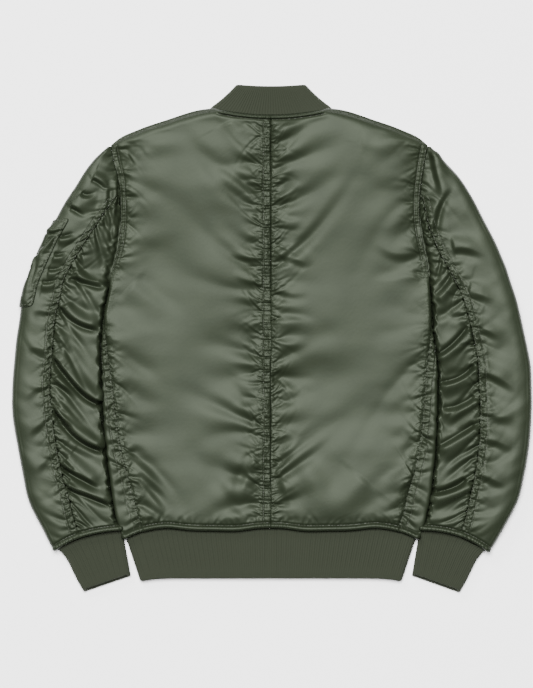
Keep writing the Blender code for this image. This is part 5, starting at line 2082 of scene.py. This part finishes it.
@dataclass(frozen=True)
class Stitching:
    """Lockstitch: short lengths of thread along a line, each sunk at its ends."""

    pitch: float = 4.4
    length: float = 3.1
    radius: float = 0.42
    lift: float = 0.12

    def add(self, bm: BMesh, line: Array, normals: Array) -> None:
        """Adds the stitches along a line of points.

        Args:
            bm: The bmesh that they go in.
            line: Points of the line, in millimetres.
            normals: Directions out of the cloth there.
        """
        along = running(line)
        for start in np.arange(0.5 * self.pitch, along[-1] - self.length, self.pitch):
            ends = [self.read(along, line, start), self.read(along, line, start + self.length)]
            out = Vector(self.read(along, normals, start + 0.5 * self.length)).normalized()
            middle = Vector(0.5 * (ends[0] + ends[1])) + out * self.lift
            way = Vector(ends[1] - ends[0])
            turn = way.to_track_quat("Z", "Y").to_matrix().to_4x4()
            turn.translation = middle * MM
            bmesh.ops.create_cone(
                bm, cap_ends=True, segments=6, radius1=self.radius * MM, radius2=self.radius * MM,
                depth=way.length * MM, matrix=turn,
            )

    def on(
        self, bm: BMesh, surface: Array, measure: Array, value: float, pick: Array, turned: bool = False
    ) -> None:
        """Adds the stitches along the line on a surface where a measure has a value.

        Args:
            bm: The bmesh that they go in.
            surface: Points by row and column.
            measure: The measure at each point; it rises along the rows.
            value: Its value on the line.
            pick: The rows that the line runs over.
            turned: Whether rows and columns change places first.
        """
        if turned:
            surface, measure = surface.transpose(1, 0, 2), measure.T
        rows, columns = np.flatnonzero(pick), np.arange(surface.shape[1])
        at = np.array([np.interp(value, measure[r], columns) for r in rows])
        i = np.minimum(at.astype(int), surface.shape[1] - 2)
        t = (at - i)[:, None]
        normals = normals_of(surface)
        line, out = (grid[rows, i] * (1 - t) + grid[rows, i + 1] * t for grid in (surface, normals))
        self.add(bm, line, -out if out[:, 2].mean() < 0.0 else out)

    @staticmethod
    def read(along: Array, values: Array, place: float) -> Array:
        """Returns the values at a distance along the line."""
        return np.array([np.interp(place, along, values[:, k]) for k in range(3)])


# ---- zip ----


@dataclass(frozen=True)
class ZipHalf:
    """Half of the zip on the underside: a woven tape with a row of teeth."""

    sign: float
    name: str
    tape: tuple[float, float, float, float] = (0.6, 4.7, 2.2, 3.6)
    tooth: tuple[float, float, float] = (2.2, 1.3, 3.3)
    pitch: float = 2.6
    bottom: float = -346.5
    top: float = 262.5
    low: float = 1.2

    def make(self, wardrobe: Wardrobe) -> None:
        """Builds the tape and its teeth."""
        near, far, floor, ceiling = self.tape
        profile = np.array(((near, floor), (far, floor), (far, ceiling), (near, ceiling)))
        y = np.linspace(self.bottom, self.top, 60)
        x = np.broadcast_to(self.sign * profile[:, 0], (len(y), 4))
        z = np.broadcast_to(profile[:, 1], (len(y), 4))
        rings = level(x, y[:, None], z)
        tube_piece("tape_" + self.name, rings, wardrobe.tape, "zip_tape", self.name)
        bm = bmesh.new()
        deep, wide, tall = self.tooth
        offset = 0.25 * self.pitch * self.sign
        for y_tooth in np.arange(self.bottom + 3.0, self.top - 2.0, self.pitch):
            made = bmesh.ops.create_cube(bm, size=MM)
            bmesh.ops.scale(bm, verts=made["verts"], vec=(deep, wide, tall))
            place = (self.sign * (0.2 + 0.5 * deep), y_tooth + offset, self.low + 0.5 * tall)
            bmesh.ops.translate(bm, verts=made["verts"], vec=Vector(place) * MM)
        finish_piece("teeth_" + self.name, bm, wardrobe.metal, "zip_metal", sharp=30.0)


@dataclass(frozen=True)
class ZipSlider:
    """Slider at the top of the zip, its pull lying flat below it."""

    top: float = 258.5
    low: float = 0.2
    high: float = 0.8
    outline: tuple[tuple[float, float], ...] = (
        (0.0, 3.4), (3.0, 4.4), (10.0, 4.2), (14.0, 2.4), (17.0, 1.6), (21.0, 2.4), (34.0, 3.0),
        (37.0, 2.2),
    )

    def make(self, wardrobe: Wardrobe) -> None:
        """Builds the slider and its pull."""
        down, half = (np.array(column) for column in zip(*self.outline))
        places = np.linspace(0.0, down[-1], 60)
        wide = smooth_through(down, half, places)
        middle, tall = 0.5 * (self.low + self.high), 0.5 * (self.high - self.low)
        turns = np.linspace(0.0, math.tau, 16, endpoint=False)
        ends = np.sqrt(ease(np.minimum(places, down[-1] - places) / 0.8) * 0.9 + 0.1)[:, None]
        square = np.sign(np.cos(turns)) * np.abs(np.cos(turns)) ** 0.4
        lift = np.sign(np.sin(turns)) * np.abs(np.sin(turns)) ** 0.4
        x = wide[:, None] * square[None, :] * (0.8 + 0.2 * ends)
        rings = level(x, (self.top - places)[:, None], middle + tall * lift[None, :] * ends)
        tube_piece("metal_zip_slider", rings, wardrobe.metal, "zip_metal", "zip_slider")


# ---- the jacket ----


@dataclass
class Jacket:
    """All the pieces, side by side, and the sewing that joins them."""

    wardrobe: Wardrobe
    stitching: Stitching = Stitching()
    patch_inset: float = 3.0

    def make(self) -> None:
        """Builds every piece."""
        sewing = bmesh.new()
        for side in SideName:
            body = BodyShape(side)
            self.make_back(body, sewing)
            self.make_front(body, sewing)
            self.make_sleeve(SleeveShape(body), sewing)
            ZipHalf(body.sign, "zip_tape_" + side.value).make(self.wardrobe)
        HemRib().make(self.wardrobe)
        CollarRib().make(self.wardrobe)
        ZipSlider().make(self.wardrobe)
        finish_piece("topstitching", sewing, self.wardrobe.thread, "shell")

    def make_back(self, body: BodyShape, sewing: BMesh) -> None:
        """Builds one half of the back and its stitches."""
        sew = partial(self.stitching.on, sewing)
        panel = BackHalf(body)
        surface, u, v = panel.make(self.wardrobe)
        x, y = panel.plan(u, v)
        inside = (y[:, 0] > PLACES.hem_seam + 10.0) & (y[:, 0] < PLACES.neck_back - 8.0)
        if body.left:
            sew(surface, x, panel.strip_wide, inside)
        upper = (y[:, -1] > PLACES.armhole_end + 4.0) & (y[:, -1] < PLACES.shoulder_tip - 6.0)
        to_side = (x[:, -1:] - x)[:, ::-1]
        for place in (1.4, panel.band_wide):
            sew(surface[:, ::-1], to_side, place, upper)
        place = panel.hem_edge.depth + panel.hem_edge.groove_out
        sew(surface, y - PLACES.hem_seam, place, x[0] > 1.0, turned=True)
        wide, above = u * float(body.edge(PLACES.shoulder_tip)), -body.to_top(x, y)
        at_neck = (wide < PLACES.neck_half - 2.0) & (wide > 1.0)
        sew(surface, above, -panel.neck_edge.depth - 0.5, at_neck, turned=True)
        at_shoulder = (wide > PLACES.neck_half + 2.0) & (u < 0.985)
        sew(surface, above, -panel.shoulder_in, at_shoulder, turned=True)

    def make_front(self, body: BodyShape, sewing: BMesh) -> None:
        """Builds one front and the stitches beside its side seam."""
        panel = FrontHalf(body)
        surface = panel.make(self.wardrobe)[:, ::-1]
        y = surface[:, 0, 1]
        shown = (y > PLACES.hem_seam - 2.0) & (y < PLACES.underarm - 30.0)
        for place in (2.4, panel.band):
            self.stitching.on(sewing, surface, distance_along(surface, 1), place, shown)

    def make_sleeve(self, shape: SleeveShape, sewing: BMesh) -> None:
        """Builds one sleeve, its cuff and its stitches."""
        sew = partial(self.stitching.on, sewing)
        for upper in (True, False):
            panel = SleevePanel(shape, upper)
            surface, t, u = panel.make(self.wardrobe)
            form = panel.section(u, t)
            down = distance_along(form, 0)
            below = down[-1:] - down
            rows = (t > shape.seam_leaves + 0.3) & (below[:, 0] > panel.cuff_edge.depth + 2.0)
            if upper:
                for place in (2.2, panel.band):
                    sew(surface, distance_along(form, 1), place, rows)
            columns = (u > 0.04) & (surface[-12, :, 2] > 9.0)
            place = panel.cuff_edge.depth + panel.cuff_edge.groove_out
            sew(surface, -below, -place, columns, turned=True)
            if upper and shape.body.left:
                pocket, to_edge = SleevePocket(panel).make(surface, t, self.wardrobe)
                self.sew_round(sewing, pocket, to_edge)
        CuffRib(shape).make(self.wardrobe)

    def sew_round(self, sewing: BMesh, surface: Array, to_edge: Array) -> None:
        """Adds the stitches of a patch, a little inside its edges."""
        normals, middle = normals_of(surface), surface.shape[1] // 2
        rows = to_edge[:, middle] > self.patch_inset
        first = int(np.argmax(to_edge[len(surface) // 2] > self.patch_inset))
        top = int(np.argmax(rows))
        self.stitching.add(sewing, surface[rows, first], normals[rows, first])
        for row in (top, len(surface) - 1 - top):
            self.stitching.add(sewing, surface[row, first:], normals[row, first:])


# ---- studio ----


@dataclass(frozen=True)
class Studio:
    """Pale floor, soft light and the camera straight above."""

    view_centre: tuple[float, float] = (-6.5, -8.1)
    view_height: float = 997.6
    jacket_middle: float = 12.0
    lens: float = 400.0
    sensor: float = 36.0
    floor_half: float = 6.0
    # Place, size in metres and power of each square softbox
    lights: tuple[tuple[str, tuple[float, float, float], float, float], ...] = (
        ("softbox_top", (-1.0, 4.55, 16.0), 9.6, 11400.0),
        ("softbox_side", (-4.4, 6.8, 4.8), 3.2, 560.0),
    )

    def make(self) -> None:
        """Builds the floor, the lights and the camera."""
        self.make_floor()
        self.make_camera()
        for name, place, size, power in self.lights:
            self.make_light(name, place, size, power)
        world = bpy.data.worlds.new("studio")
        bpy.context.scene.world = world
        world.use_nodes = True
        background = world.node_tree.nodes["Background"]
        fill(world, background, {"Color": linear("#ffffff"), "Strength": 0.05})

    def make_floor(self) -> None:
        """Builds the floor just under the jacket."""
        bm = bmesh.new()
        bmesh.ops.create_grid(bm, x_segments=1, y_segments=1, size=self.floor_half)
        bmesh.ops.translate(bm, verts=bm.verts, vec=(0.0, 0.0, -0.2 * MM))
        mesh = bpy.data.meshes.new("floor")
        bm.to_mesh(mesh)
        bm.free()
        mesh.materials.append(PAPER.make())
        floor = bpy.data.objects.new("floor", mesh)
        bpy.context.scene.collection.objects.link(floor)

    def make_camera(self) -> None:
        """Builds the camera, square above the jacket."""
        data = bpy.data.cameras.new("camera")
        data.lens = self.lens
        data.sensor_width = self.sensor
        camera = bpy.data.objects.new("camera", data)
        distance = self.view_height * self.lens / self.sensor + self.jacket_middle
        camera.location = Vector((*self.view_centre, distance)) * MM
        bpy.context.scene.collection.objects.link(camera)
        bpy.context.scene.camera = camera

    def make_light(
        self, name: str, place: tuple[float, float, float], size: float, power: float
    ) -> None:
        """Builds one square softbox that faces the jacket."""
        data = bpy.data.lights.new(name, "AREA")
        data.shape = "SQUARE"
        data.size = size
        data.energy = power
        light = bpy.data.objects.new(name, data)
        light.location = place
        light.rotation_euler = (-Vector(place)).to_track_quat("-Z", "Y").to_euler()
        bpy.context.scene.collection.objects.link(light)


def main() -> None:
    """Builds the studio and dresses the jacket."""
    logging.basicConfig(level=logging.INFO, format="%(message)s")
    Studio().make()
    Jacket(Wardrobe()).make()


if __name__ == "__main__":
    main()
